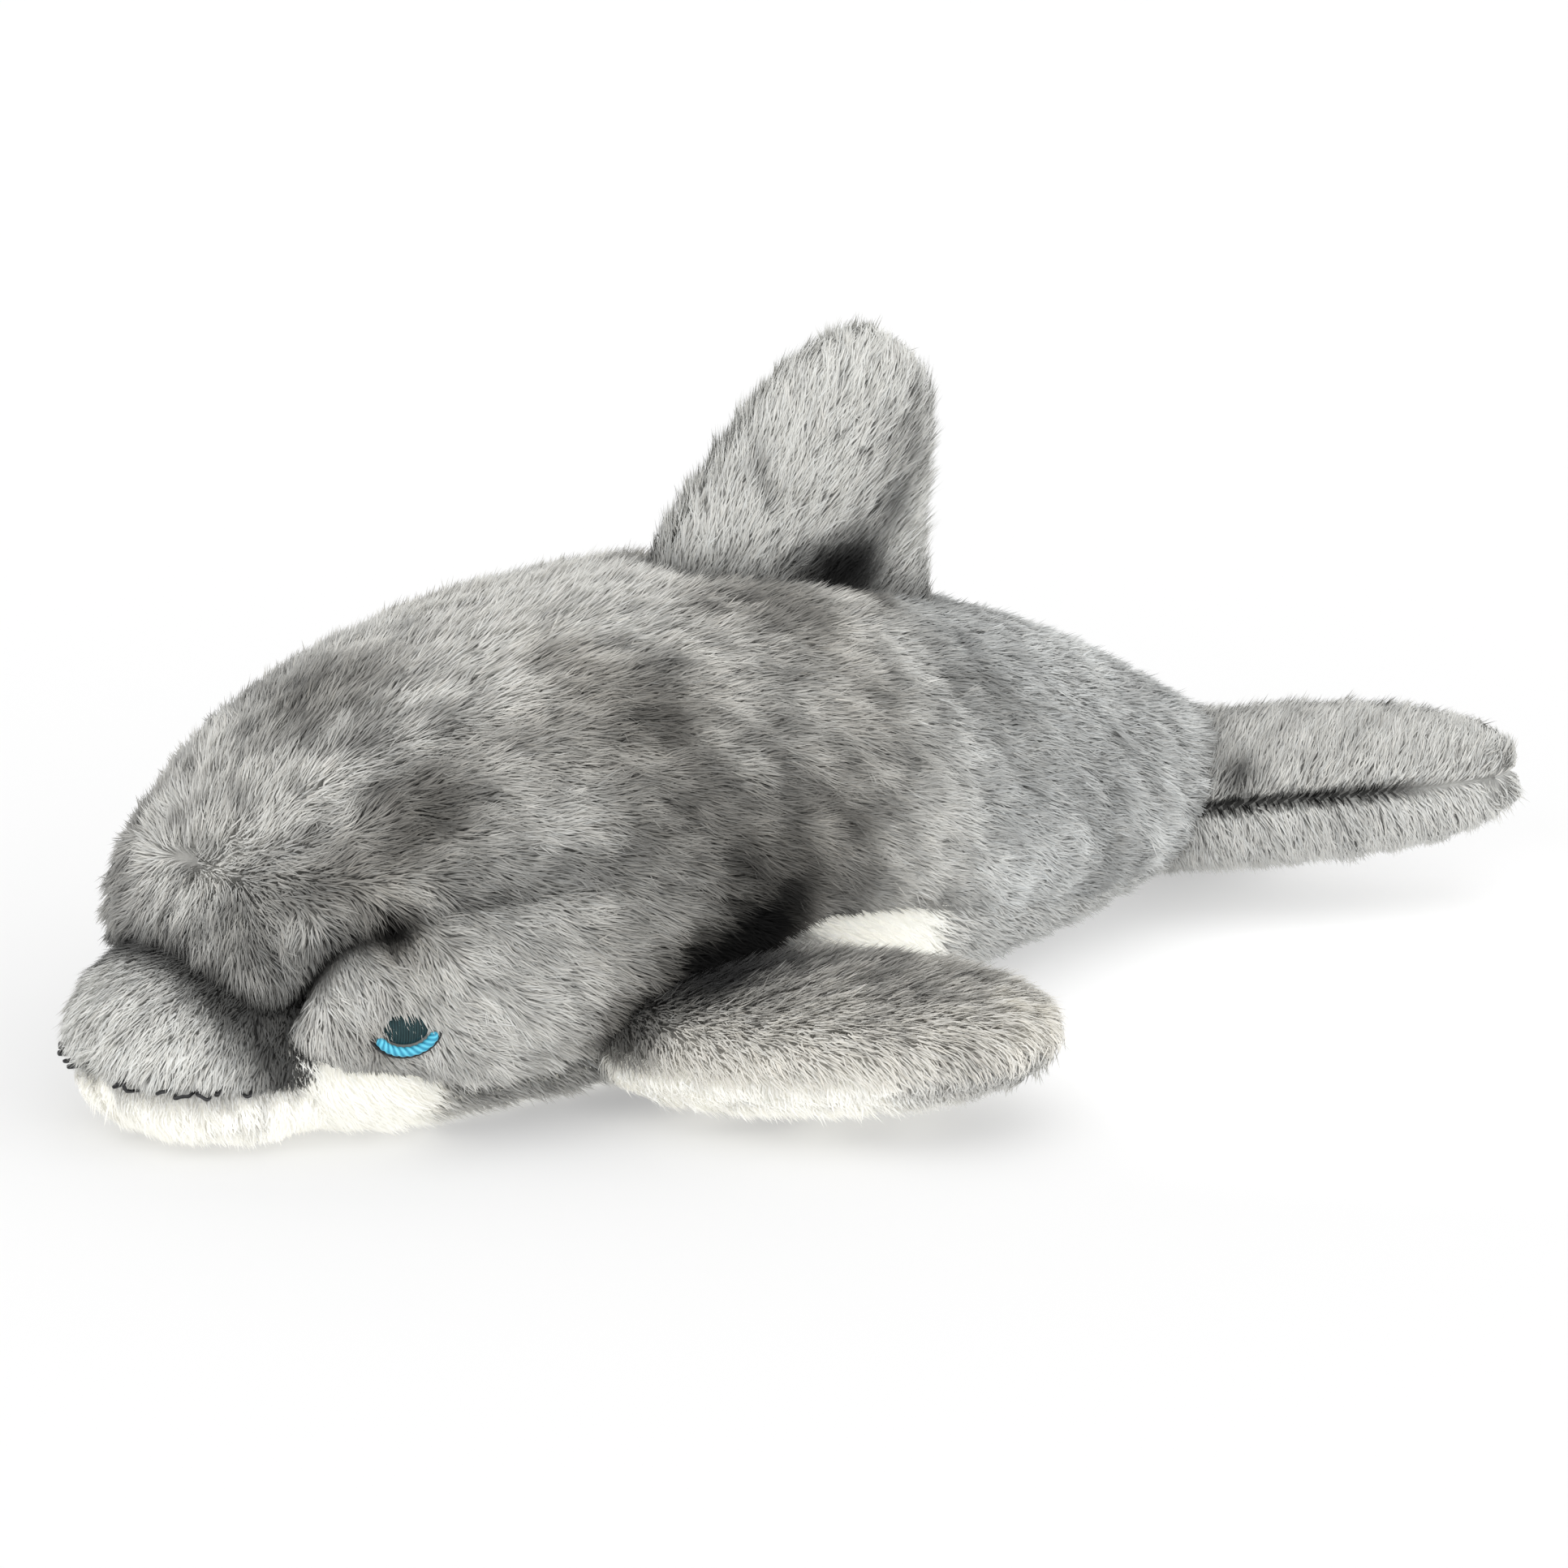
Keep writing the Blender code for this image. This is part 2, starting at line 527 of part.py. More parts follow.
def eye(side, label):
    """Embroidered pupil, blue thread under it and a dark outline under that."""
    station, angle = np.array(EYE_STATION), np.array(np.radians(EYE_ANGLE))
    mirror = np.array([1, -side, 1])
    centre = cloth(station, angle, 0.0)
    normal = skin_normal(station, angle)
    back = np.array([1.0, 0, 0]) - normal * normal[0]
    back /= np.linalg.norm(back)
    up = np.cross(back, normal)
    up *= np.sign(up[2])

    def on_cloth(length, height, over):
        flat = centre + np.multiply.outer(length, back) + np.multiply.outer(height, up)
        return flat + np.multiply.outer(over, normal)

    tilt = np.linspace(0, np.pi, EYE_RINGS + 1)[:, None]
    turn = np.linspace(0, 2 * np.pi, EYE_SIDES, endpoint=False)[None, :]
    tilt, turn = np.broadcast_arrays(tilt, turn)
    half = EYE_THICKNESS / 2
    rings = on_cloth(EYE_HALF_LENGTH * np.sin(tilt) * np.cos(turn),
                     EYE_HALF_HEIGHT * np.sin(tilt) * np.sin(turn), half * np.cos(tilt) + half + SEAM_GAP)
    closed_tube("eye_" + label, rings * mirror, EYE_THREAD)
    sweep = np.linspace(RING_START, RING_END, RING_STEPS + 1)
    for name, away, radius, spec in (("eye_ring_", RING_DISTANCE, RING_RADIUS, BLUE_THREAD),
                                     ("eye_outline_", OUTLINE_DISTANCE, OUTLINE_RADIUS, DARK_THREAD)):
        path = on_cloth((EYE_HALF_LENGTH + away) * np.cos(sweep), (EYE_HALF_HEIGHT + away) * np.sin(sweep),
                        np.full_like(sweep, radius + SEAM_GAP))
        tube_along(name + label, path * mirror, normal * mirror, radius, spec)


def centre_on_floor():
    """Moves the toy so that its origin is under the middle of its box."""
    bpy.context.view_layer.update()
    solids = [thing for thing in bpy.context.scene.objects if not thing.hide_render]
    corners = []
    depsgraph = bpy.context.evaluated_depsgraph_get()
    for thing in solids:
        ready = thing.evaluated_get(depsgraph)
        corners += [ready.matrix_world @ vertex.co for vertex in ready.data.vertices]
    corners = np.array(corners)
    middle = (corners.min(0) + corners.max(0)) / 2
    shift = Matrix.Translation((-middle[0], -middle[1], -corners[:, 2].min()))
    for thing in bpy.context.scene.objects:
        thing.matrix_world = shift @ thing.matrix_world


def main():
    clear_scene()
    cutter = body_cutter()
    body()
    upward = np.array([0, 0, 1.0])
    sewn_on = pillow(("beak_upper", "beak_lower", "beak_filling"), beak_section, upward, 0.0, PILLOW_ROWS,
                     BEAK_CELLS, (PALE_GREY_CLOTH, WHITE_CLOTH), on_floor=True)
    sewn_on += pillow(("dorsal_fin_left", "dorsal_fin_right", "dorsal_fin_filling"), fin_section,
                      np.array([0, -1.0, 0]), -FIN_SINK / (FIN_HEIGHT + FIN_SKIRT), PILLOW_ROWS, FIN_CELLS,
                      (PALE_GREY_CLOTH, PALE_GREY_CLOTH))
    for side, label in ((-1, "left"), (1, "right")):
        names = ["flipper_" + label + end for end in ("_upper", "_lower", "_filling")]
        sewn_on += pillow(names, flipper_section(side), upward, 0.0, PILLOW_ROWS, FIN_CELLS,
                          (GREY_CLOTH, WHITE_CLOTH), on_floor=True)
        eye(side, label)
    sewn_on += pillow(("fluke_upper", "fluke_lower", "fluke_filling"), fluke_section, upward, -1.0,
                      FLUKE_ROWS, FLUKE_CELLS, (PALE_GREY_CLOTH, PALE_GREY_CLOTH), on_floor=True, turn=rolled)
    sewn_on.append(mouth_thread())
    for piece in sewn_on:
        cut_by(piece, cutter)
    centre_on_floor()


main()
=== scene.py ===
# Looks of the plush dolphin: long pile on every sewn panel, embroidered eyes and mouth, lamps, floor, camera
import json
import math

import bmesh
import bpy
import numpy as np
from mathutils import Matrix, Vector

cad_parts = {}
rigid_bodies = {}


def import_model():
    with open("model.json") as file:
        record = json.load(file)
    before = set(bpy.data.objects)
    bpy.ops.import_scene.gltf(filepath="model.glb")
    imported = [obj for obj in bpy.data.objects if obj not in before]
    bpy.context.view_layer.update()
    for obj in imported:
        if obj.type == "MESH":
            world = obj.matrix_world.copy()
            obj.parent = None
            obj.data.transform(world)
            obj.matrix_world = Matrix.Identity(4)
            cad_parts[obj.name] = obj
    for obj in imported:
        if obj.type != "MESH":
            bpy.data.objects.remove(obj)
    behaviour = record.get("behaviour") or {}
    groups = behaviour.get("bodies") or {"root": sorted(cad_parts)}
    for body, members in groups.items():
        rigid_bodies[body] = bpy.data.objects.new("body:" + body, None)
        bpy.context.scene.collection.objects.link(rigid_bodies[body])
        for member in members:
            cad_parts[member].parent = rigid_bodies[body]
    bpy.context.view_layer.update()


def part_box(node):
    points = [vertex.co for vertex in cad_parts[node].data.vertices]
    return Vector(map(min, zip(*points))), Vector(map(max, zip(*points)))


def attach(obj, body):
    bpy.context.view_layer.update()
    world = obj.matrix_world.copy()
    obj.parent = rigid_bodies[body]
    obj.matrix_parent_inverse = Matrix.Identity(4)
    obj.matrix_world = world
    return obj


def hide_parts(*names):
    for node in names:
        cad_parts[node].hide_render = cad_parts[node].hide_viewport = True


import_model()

# The toy's own form, in metres. One row for each station from the forehead to the tail:
# ridge (x, z), side (x, y, z), belly (x, z).
body = {
    "rails": [
        ((-.1300, .0270), (-.1300, .0000, .0270), (-.1300, .0270)),
        ((-.1310, .0420), (-.1280, .0180, .0275), (-.1290, .0150)),
        ((-.1260, .0555), (-.1210, .0320, .0280), (-.1240, .0045)),
        ((-.1130, .0675), (-.1090, .0410, .0285), (-.1120, -.0015)),
        ((-.0920, .0760), (-.0890, .0460, .0295), (-.0920, -.0020)),
        ((-.0600, .0810), (-.0580, .0480, .0310), (-.0580, -.0020)),
        ((-.0250, .0815), (-.0250, .0460, .0320), (-.0250, -.0020)),
        ((.0080, .0780), (.0080, .0410, .0320), (.0080, -.0005)),
        ((.0360, .0685), (.0360, .0340, .0305), (.0360, .0015)),
        ((.0600, .0570), (.0600, .0270, .0285), (.0600, .0040)),
        ((.0800, .0460), (.0800, .0210, .0265), (.0800, .0075)),
        ((.0960, .0380), (.0960, .0170, .0240), (.0960, .0110)),
        ((.1040, .0320), (.1040, .0110, .0230), (.1040, .0140)),
        ((.1070, .0230), (.1070, .0000, .0230), (.1070, .0230)),
    ],
    "sectionPower": .92,
    "lastStation": 13,
    "sideSeam": [115, 107, 96, 95, 103, 96, 96, 104, 118, 132, 146, 154, 158, 160],
    "cheekOpening": [0, 2, 40, 47, 60, 34, 0, 0, 0, 0, 0, 0, 0, 0],
    "cheekFrom": 1.2,
    "cheekTo": 5.84,
    # how deep the cloth is drawn in along the seam over the cheek and along the one under it
    "upperSeam": [.0005, .0045, .0070, .0034, .0014, .0012, .0010, .0010, .0010] + [.0008] * 5,
    "lowerSeam": [.0005, .0010, .0015, .0020, .0045, .0070, .0060, .0020, .0010] + [.0008] * 5,
    "deepSeam": .007,
    "valley": .0040,
    "valleyPower": 1.3,
    # shallow folds round the back behind the fin, and the turn of the tail about its own line
    "foldDepth": .0011,
    "foldSkew": .5,
    "foldFrom": 7.4,
    "foldTo": 10.6,
    "foldCount": 5,
    "rollAngle": math.radians(13),
    "rollFrom": .040,
    "rollTo": .095,
    "rollHeight": .022,
    "skinDepth": .0026,
    # how much fuller the pile makes the upper half at each station, or slimmer where it is below 0
    "fuller": [-.0030, -.0036, -.0034, -.0026, -.0010, .0014, .0017, -.0004, -.0002, .0016, .0013,
               -.0008, -.0014, 0],
    # height at which the upper half begins at the brow, how much lower that is behind, and the blend
    "upperFrom": .040,
    "lowerBehind": .018,
    "upperOver": .014,
    # how far the brow bulges over the beak, and the height under which it does
    "browFoot": .0022,
    "footUnder": (.034, .010),
    "overFloor": .0012,
}
beak = {
    "back": .019, "length": .0345, "halfWidth": .0265, "power": 2.8, "height": .0135,
    "rise": .0220, "drop": .0130,
}
fin = {
    "station": 6.82, "height": .0398, "skirt": .0090, "sink": .0190, "baseChord": .0355,
    "tipChord": .0224, "lean": .0186, "leanPower": 1.4, "centre": -.0050, "thick": .0110, "tipPower": 4,
    "hollow": .0066,
}
flipper = {
    "station": 5.1, "angle": math.radians(119), "sink": .016, "length": .0655, "chord": .0270,
    "rise": .0125, "drop": .0115, "sweep": math.radians(41.5), "tilt": math.radians(2.5),
    "outlinePower": .45, "fullest": .4,
}
fluke = {
    "back": .016, "halfSpan": .0422, "sweep": .0455, "chord": .0270, "notch": .16, "rise": .0138,
    "fall": .0124, "tipFuller": .3, "drop": .0045, "height": .0213, "tipPower": 3, "outlinePower": .50,
}
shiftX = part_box("beak_lower")[0].x - (body["rails"][0][0][0] + beak["back"] - beak["length"])
toyShift = np.array([shiftX, 0, 0])
up = np.array([0, 0, 1.0])


def smoothCurve(rows, t):
    # Catmull-Rom curve through the rows at t, counted in rows
    p = np.asarray(rows, float)
    p = np.concatenate([[2 * p[0] - p[1]], p, [2 * p[-1] - p[-2]]])
    i = np.clip(np.floor(t).astype(int), 0, len(p) - 4)
    f = t - i
    if p.ndim > 1:
        f = f[..., None]
    a, b, c, d = p[i], p[i + 1], p[i + 2], p[i + 3]
    return b + .5 * ((c - a) * f + (2 * a - 5 * b + 4 * c - d) * f**2 + (3 * b - a - 3 * c + d) * f**3)


def smoothStep(t):
    t = np.clip(t, 0, 1)
    return t * t * (3 - 2 * t)


def fade(value, start, over):
    # 0 up to the start, then smoothly up to 1; where over is below 0, it falls from 1 to 0 by the start
    return smoothStep((value - start) / over)


def bell(value, reach, power=2):
    # 1 at 0, and close to 0 well past the reach
    return np.exp(-(value / reach) ** power)


def unit(vectors):
    # the same directions at length 1
    return vectors / np.maximum(np.linalg.norm(vectors, axis=-1, keepdims=True), 1e-12)


def rolled(points):
    # a turn about the tail's own line that grows from rollFrom to rollTo
    turn = -body["rollAngle"] * fade(points[..., 0], body["rollFrom"], body["rollTo"] - body["rollFrom"])
    y, z = points[..., 1], points[..., 2] - body["rollHeight"]
    out = points.copy()
    out[..., 1] = np.cos(turn) * y - np.sin(turn) * z
    out[..., 2] = np.sin(turn) * y + np.cos(turn) * z + body["rollHeight"]
    return out


def plainSkin(station, angle):
    # rounded section between the three rails: cos and sin of the angle, each to the section's power
    station, angle = np.broadcast_arrays(np.asarray(station, float), np.asarray(angle, float))
    ridge, side, belly = (smoothCurve([row[k] for row in body["rails"]], station) for k in range(3))
    c, s = np.cos(angle), np.sin(angle)
    share = (np.abs(c) ** body["sectionPower"])[..., None]
    rail = np.where((c > 0)[..., None], ridge, belly)
    xz = side[..., [0, 2]] + (rail - side[..., [0, 2]]) * share
    y = -side[..., 1] * np.sign(s) * np.abs(s) ** body["sectionPower"]
    return rolled(np.stack([xz[..., 0], y, xz[..., 1]], -1))


def skinSlopes(station, angle, step=.02):
    # differences of the plain skin along the stations and around the section
    low = np.clip(station - step, 0, body["lastStation"])
    high = np.clip(station + step, 0, body["lastStation"])
    along = (plainSkin(high, angle) - plainSkin(low, angle)) / (high - low)[..., None]
    around = (plainSkin(station, angle + step) - plainSkin(station, angle - step)) / (2 * step)
    return along, around


def skinNormal(station, angle, poleMargin=.12):
    along, around = skinSlopes(np.clip(station, poleMargin, body["lastStation"] - poleMargin), angle)
    return unit(np.cross(around, along))


def seamAngle(side, station):
    opening = np.maximum(smoothCurve(body["cheekOpening"], station), 0)
    return np.radians(smoothCurve(body["sideSeam"], station) + side * opening / 2)


def seamDistance(side, station, angle):
    # angle to the seam times the section's radius
    folded = (angle + np.pi) % (2 * np.pi) - np.pi
    reach = np.linalg.norm(skinSlopes(station, folded)[1], axis=-1)
    return np.abs(np.abs(folded) - seamAngle(side, station)) * reach


def bodySkin(station, angle, extra=0):
    # plain skin, sunk by the seams' valleys and the folds, and never under the floor
    station, angle = np.broadcast_arrays(np.asarray(station, float), np.asarray(angle, float))
    sunk = np.zeros(station.shape)
    for side, depths in ((-1, body["upperSeam"]), (1, body["lowerSeam"])):
        near = bell(seamDistance(side, station, angle), body["valley"], body["valleyPower"])
        sunk = np.maximum(sunk, smoothCurve(depths, station) * near)
    t = (station - body["foldFrom"]) / (body["foldTo"] - body["foldFrom"])
    inside = smoothStep(4 * t) * smoothStep(4 * (1 - t))
    wave = .5 - .5 * np.cos(2 * np.pi * body["foldCount"] * t + body["foldSkew"] * np.sin(3 * angle))
    sunk = sunk + body["foldDepth"] * inside * wave * np.sin(angle) ** 2
    point = plainSkin(station, angle)
    lower = body["lowerBehind"] * fade(station, 3, 2)
    upper = smoothStep((point[..., 2] - body["upperFrom"] + lower) / body["upperOver"])
    foot = (1 - fade(point[..., 2], *body["footUnder"])) * np.clip(2 - station, 0, 1)
    sunk = sunk + body["skinDepth"] + extra
    sunk = sunk - smoothCurve(body["fuller"], station) * upper - body["browFoot"] * foot
    point = point - skinNormal(station, angle) * sunk[..., None]
    point[..., 2] = np.maximum(point[..., 2], body["overFloor"])
    return point


def pillowPoints(section, v, u, inset):
    # centre + chord cos u + rise |sin u|, with one rise over the rim and another under it
    v, u = np.broadcast_arrays(v, u)
    centre, chord, rise, fall = section(v, inset)
    lift = np.where((np.sin(u) >= 0)[..., None], rise, -fall)
    return centre + chord * np.cos(u)[..., None] + lift * np.abs(np.sin(u))[..., None]


def beakSection(v, inset):
    root = body["rails"][0][0][0] + beak["back"]
    shape = np.sqrt(np.clip(1 - np.abs(v) ** beak["power"], 0, 1))[..., None]
    zero = np.zeros_like(v)
    centre = np.stack([root - (beak["length"] - inset) * v, zero, zero + beak["height"]], -1)
    chord = np.array([0, -1, 0]) * (beak["halfWidth"] - inset) * shape
    return centre, chord, up * (beak["rise"] - inset) * shape, up * (beak["drop"] - inset) * shape


def finSection(v, inset):
    ridge = plainSkin(fin["station"], 0.0)
    base = ridge[2] - fin["skirt"]
    height = fin["height"] + fin["skirt"] - inset
    along = np.clip(v, 0, 1)
    chord = fin["baseChord"] + (fin["tipChord"] - fin["baseChord"]) * along - inset
    hollow = fin["hollow"] / 2 * np.sin(np.pi * along)  # the rear edge is drawn in
    chord = chord - hollow
    roundOff = np.sqrt(np.clip(1 - along ** fin["tipPower"], 0, 1))
    x = ridge[0] + fin["centre"] + fin["lean"] * np.sin(np.pi / 2 * along) ** fin["leanPower"] - hollow
    zero = np.zeros_like(v)
    centre = np.stack([x, zero, base + height * v], -1)
    thick = np.array([0, -1, 0]) * (fin["thick"] - inset) * roundOff[..., None]
    return centre, np.array([1, 0, 0]) * (chord * roundOff)[..., None], thick, thick


def flipperSection(side):
    root = plainSkin(flipper["station"], flipper["angle"])
    run = np.array([math.sin(flipper["sweep"]) * math.cos(flipper["tilt"]),
                    -math.cos(flipper["sweep"]) * math.cos(flipper["tilt"]), math.sin(flipper["tilt"])])
    across = unit(np.cross(up, run))
    top = np.cross(run, across)
    mirror = np.array([1, -side, 1])

    def section(v, inset):
        reach = flipper["sink"] + flipper["length"] - 2 * inset
        centre = root - run * (flipper["sink"] - inset) + run * (reach * v)[..., None]
        chord = (flipper["chord"] - inset) * np.clip(1 - (2 * v - 1) ** 2, 0, 1) ** flipper["outlinePower"]
        away = (v - flipper["fullest"]) / (1 - flipper["fullest"])
        plump = np.sqrt(np.clip(1 - away**2, 0, 1))[..., None]
        lift = top * mirror
        return (centre * mirror, -across * mirror * chord[..., None],
                lift * (flipper["rise"] - inset) * plump, lift * (flipper["drop"] - inset) * plump)

    return section


def flukeSection(v, inset):
    tailEnd = body["rails"][-1][0][0]
    lobe = np.abs(v)
    bend = np.sqrt(lobe**2 + fluke["notch"] ** 2) - fluke["notch"]
    bend = bend / (math.sqrt(1 + fluke["notch"] ** 2) - fluke["notch"])
    x = tailEnd - fluke["back"] + fluke["sweep"] * bend
    centre = np.stack([x, -(fluke["halfSpan"] - inset) * v, fluke["height"] - fluke["drop"] * lobe**2], -1)
    roundOff = np.clip(1 - lobe ** fluke["tipPower"], 0, 1)
    chord = (fluke["chord"] - inset) * roundOff ** fluke["outlinePower"]
    plump = up * np.sqrt(roundOff)[..., None]
    fall = (fluke["fall"] - inset) * (1 + fluke["tipFuller"] * lobe**2)
    return (centre, np.array([-1, 0, 0]) * chord[..., None], plump * (fluke["rise"] - inset),
            plump * fall[..., None])


def cloudy(points, size, seed, waves=14):
    # sum of plane waves in random directions, about -1 to 1, and its slope
    pick = np.random.default_rng(seed)
    ways = unit(pick.normal(size=(waves, 3))) * (2 * np.pi / size) * pick.uniform(.6, 1.5, (waves, 1))
    turns = points @ ways.T + pick.uniform(0, 2 * np.pi, waves)
    scale = math.sqrt(2 / waves)
    return np.sin(turns).sum(-1) * scale, np.cos(turns) @ ways * scale * size / (2 * np.pi)


# Materials: a socket wrapper, so that shader maths reads as plain sums and products
class Wire:
    def __init__(self, tree, socket=None):
        self.tree, self.socket = tree, socket

    def node(self, kind, settings=None, inputs=None, output=0):
        made = self.tree.nodes.new(kind)
        for key, value in (settings or {}).items():
            if key == "stops":
                while len(made.color_ramp.elements) < len(value):
                    made.color_ramp.elements.new(.5)
                for element, (place, colour) in zip(made.color_ramp.elements, value):
                    element.position, element.color = place, (*colour, 1)
            else:
                setattr(made, key, value)
        for key, value in (inputs or {}).items():
            if isinstance(value, Wire):
                self.tree.links.new(value.socket, made.inputs[key])
            else:
                made.inputs[key].default_value = value
        return Wire(self.tree, made.outputs[output])

    def maths(self, operation, first, second=0.0):
        return self.node("ShaderNodeMath", {"operation": operation}, {0: first, 1: second})

    def __add__(self, other):
        return self.maths("ADD", self, other)

    def __rsub__(self, other):
        return self.maths("SUBTRACT", other, self)

    def __mul__(self, other):
        return self.maths("MULTIPLY", self, other)

    def __pow__(self, other):
        return self.maths("POWER", self, other)

    __radd__ = __add__
    __rmul__ = __mul__


def newMaterial(name, roughness, **plain):
    made = bpy.data.materials.new(name)
    made.use_nodes = True
    shader = made.node_tree.nodes["Principled BSDF"]
    shader.inputs["Roughness"].default_value = roughness
    for key, value in plain.items():
        shader.inputs[key.replace("_", " ")].default_value = value
    return made, Wire(made.node_tree), shader


# Pile: the map's u is the fibre's own lightness, and its v holds sixteen bands from cool to warm,
# each of them running from a fibre's root to its tip.
pileLook = {
    "bands": 16,
    "cool": (.965, 1.0, 1.0),
    "warm": (1.05, 1.0, .90),
    "rootShade": .80,
    "whiteRootShade": 1.0,
    "tonePower": 2.2,
    "white": (.915, .98),  # tones from which pile counts as white
    "whiteGlow": .12,  # light that white fibres pass on to each other
    "mapWidth": .0024,
    "bandFrom": .06,
    "bandSpan": .88,
}


def pileMaterial():
    made, wire, shader = newMaterial("plushPile", .95, Specular_IOR_Level=.08, Sheen_Weight=.22,
                                     Sheen_Roughness=.5)
    uv = wire.node("ShaderNodeUVMap", {"uv_map": "OFBake"})
    tone = wire.node("ShaderNodeSeparateXYZ", inputs={0: uv})
    level = Wire(wire.tree, tone.socket.node.outputs[1]) * pileLook["bands"]
    along = wire.maths("FRACT", level)
    warmth = wire.maths("FLOOR", level) * (1 / (pileLook["bands"] - 1))
    white = wire.node("ShaderNodeMapRange", {"interpolation_type": "SMOOTHSTEP"},
                      {"Value": tone, "From Min": pileLook["white"][0], "From Max": pileLook["white"][1]})
    root = pileLook["rootShade"] + (pileLook["whiteRootShade"] - pileLook["rootShade"]) * white
    shade = root + (1 - root) * along
    tint = wire.node("ShaderNodeMix", {"data_type": "RGBA"},
                     {0: warmth, 6: (*pileLook["cool"], 1), 7: (*pileLook["warm"], 1)}, 2)
    colour = wire.node("ShaderNodeVectorMath", {"operation": "SCALE"},
                       {0: tint, "Scale": tone ** pileLook["tonePower"] * shade})
    wire.tree.links.new(colour.socket, shader.inputs["Base Color"])
    glow = wire.node("ShaderNodeVectorMath", {"operation": "SCALE"}, {0: tint, "Scale": white})
    wire.tree.links.new(glow.socket, shader.inputs["Emission Color"])
    shader.inputs["Emission Strength"].default_value = pileLook["whiteGlow"]
    return made


pile = pileMaterial()


def makeMesh(name, points, faces, material, uv=None, normals=None, weld=False):
    # points and faces straight into a mesh, with one map value for each corner of a face
    mesh = bpy.data.meshes.new(name)
    mesh.vertices.add(len(points))
    mesh.vertices.foreach_set("co", np.asarray(points, np.float32).ravel())
    mesh.loops.add(faces.size)
    mesh.loops.foreach_set("vertex_index", faces.astype(np.int32).ravel())
    mesh.polygons.add(len(faces))
    mesh.polygons.foreach_set("loop_start", np.arange(0, faces.size, faces.shape[1], dtype=np.int32))
    mesh.polygons.foreach_set("use_smooth", np.ones(len(faces), bool))
    mesh.update(calc_edges=True)
    if uv is not None:
        layer = mesh.uv_layers.new(name="OFBake")
        layer.uv.foreach_set("vector", uv.astype(np.float32).ravel())
    if weld:
        # grids that close on themselves: their seams and poles are joined
        work = bmesh.new()
        work.from_mesh(mesh)
        bmesh.ops.remove_doubles(work, verts=work.verts, dist=1e-6)
        bmesh.ops.recalc_face_normals(work, faces=work.faces)
        work.to_mesh(mesh)
        work.free()
    if normals is not None:
        mesh.normals_split_custom_set_from_vertices(normals.astype(np.float32))
    mesh.materials.append(material)
    made = bpy.data.objects.new(name, mesh)
    bpy.context.scene.collection.objects.link(made)
    return made


def pileMap(tone, warmth, along, side):
    # where a fibre's corner lies on the map: lightness across, warmth's band and place on the fibre up
    band = np.clip(np.round(warmth * (pileLook["bands"] - 1)), 0, pileLook["bands"] - 1)
    return np.stack([np.clip(tone, .01, .99) + side * pileLook["mapWidth"],
                     (band + pileLook["bandFrom"] + pileLook["bandSpan"] * along) / pileLook["bands"]], -1)


def gridCorners(rows, columns):
    index = np.arange(rows * columns).reshape(rows, columns)
    a, b, c, d = index[:-1, :-1], index[:-1, 1:], index[1:, 1:], index[1:, :-1]
    return np.stack([a, b, c, d], -1).reshape(-1, 4)


def sown(skin, density, keep, seed):
    # roots spread evenly by area: cells in order, each root a random place in its cell
    corners = gridCorners(*skin.shape[:2])
    flat = skin.reshape(-1, 3)
    a, b, c, d = (flat[corners[:, k]] for k in range(4))
    area = np.linalg.norm(np.cross(c - a, d - b), axis=1) / 2 * keep.ravel()[corners].mean(1)
    pick = np.random.default_rng(seed)
    total = np.cumsum(area)
    count = int(min(total[-1] * density, grooming["most"]))
    cell = np.searchsorted(total, (np.arange(count) + pick.uniform(0, 1, count)) / count * total[-1])
    cell = np.minimum(cell, len(area) - 1)
    s, t = pick.uniform(0, 1, (2, count))
    shares = np.stack([(1 - s) * (1 - t), s * (1 - t), s * t, (1 - s) * t], -1)
    return corners[cell], shares


def at(values, picked):
    # value of a grid at the sown roots
    corners, shares = picked
    flat = values.reshape(-1, *values.shape[2:])[corners]
    return (flat * shares.reshape(*shares.shape, *[1] * (values.ndim - 2))).sum(1)


def combed(normal, pull):
    # the part of a pull that lies in the cloth
    pull = np.broadcast_to(pull, normal.shape)
    return unit(pull - normal * (pull * normal).sum(-1, keepdims=True))


def bending(skin, normal, flow):
    # how fast the cloth turns away under a fibre, in radians for each metre along the flow:
    # the flow is split into the grid's two slopes, and the normal's own slopes are added in those shares
    down, across = np.gradient(skin, axis=0), np.gradient(skin, axis=1)
    dd, da, aa = (down * down).sum(-1), (down * across).sum(-1), (across * across).sum(-1)
    fd, fa = (flow * down).sum(-1), (flow * across).sum(-1)
    size = np.maximum(dd * aa - da * da, 1e-16)
    first, second = (fd * aa - fa * da) / size, (fa * dd - fd * da) / size
    turn = first[..., None] * np.gradient(normal, axis=0) + second[..., None] * np.gradient(normal, axis=1)
    return np.clip((turn * flow).sum(-1), *grooming["turning"])


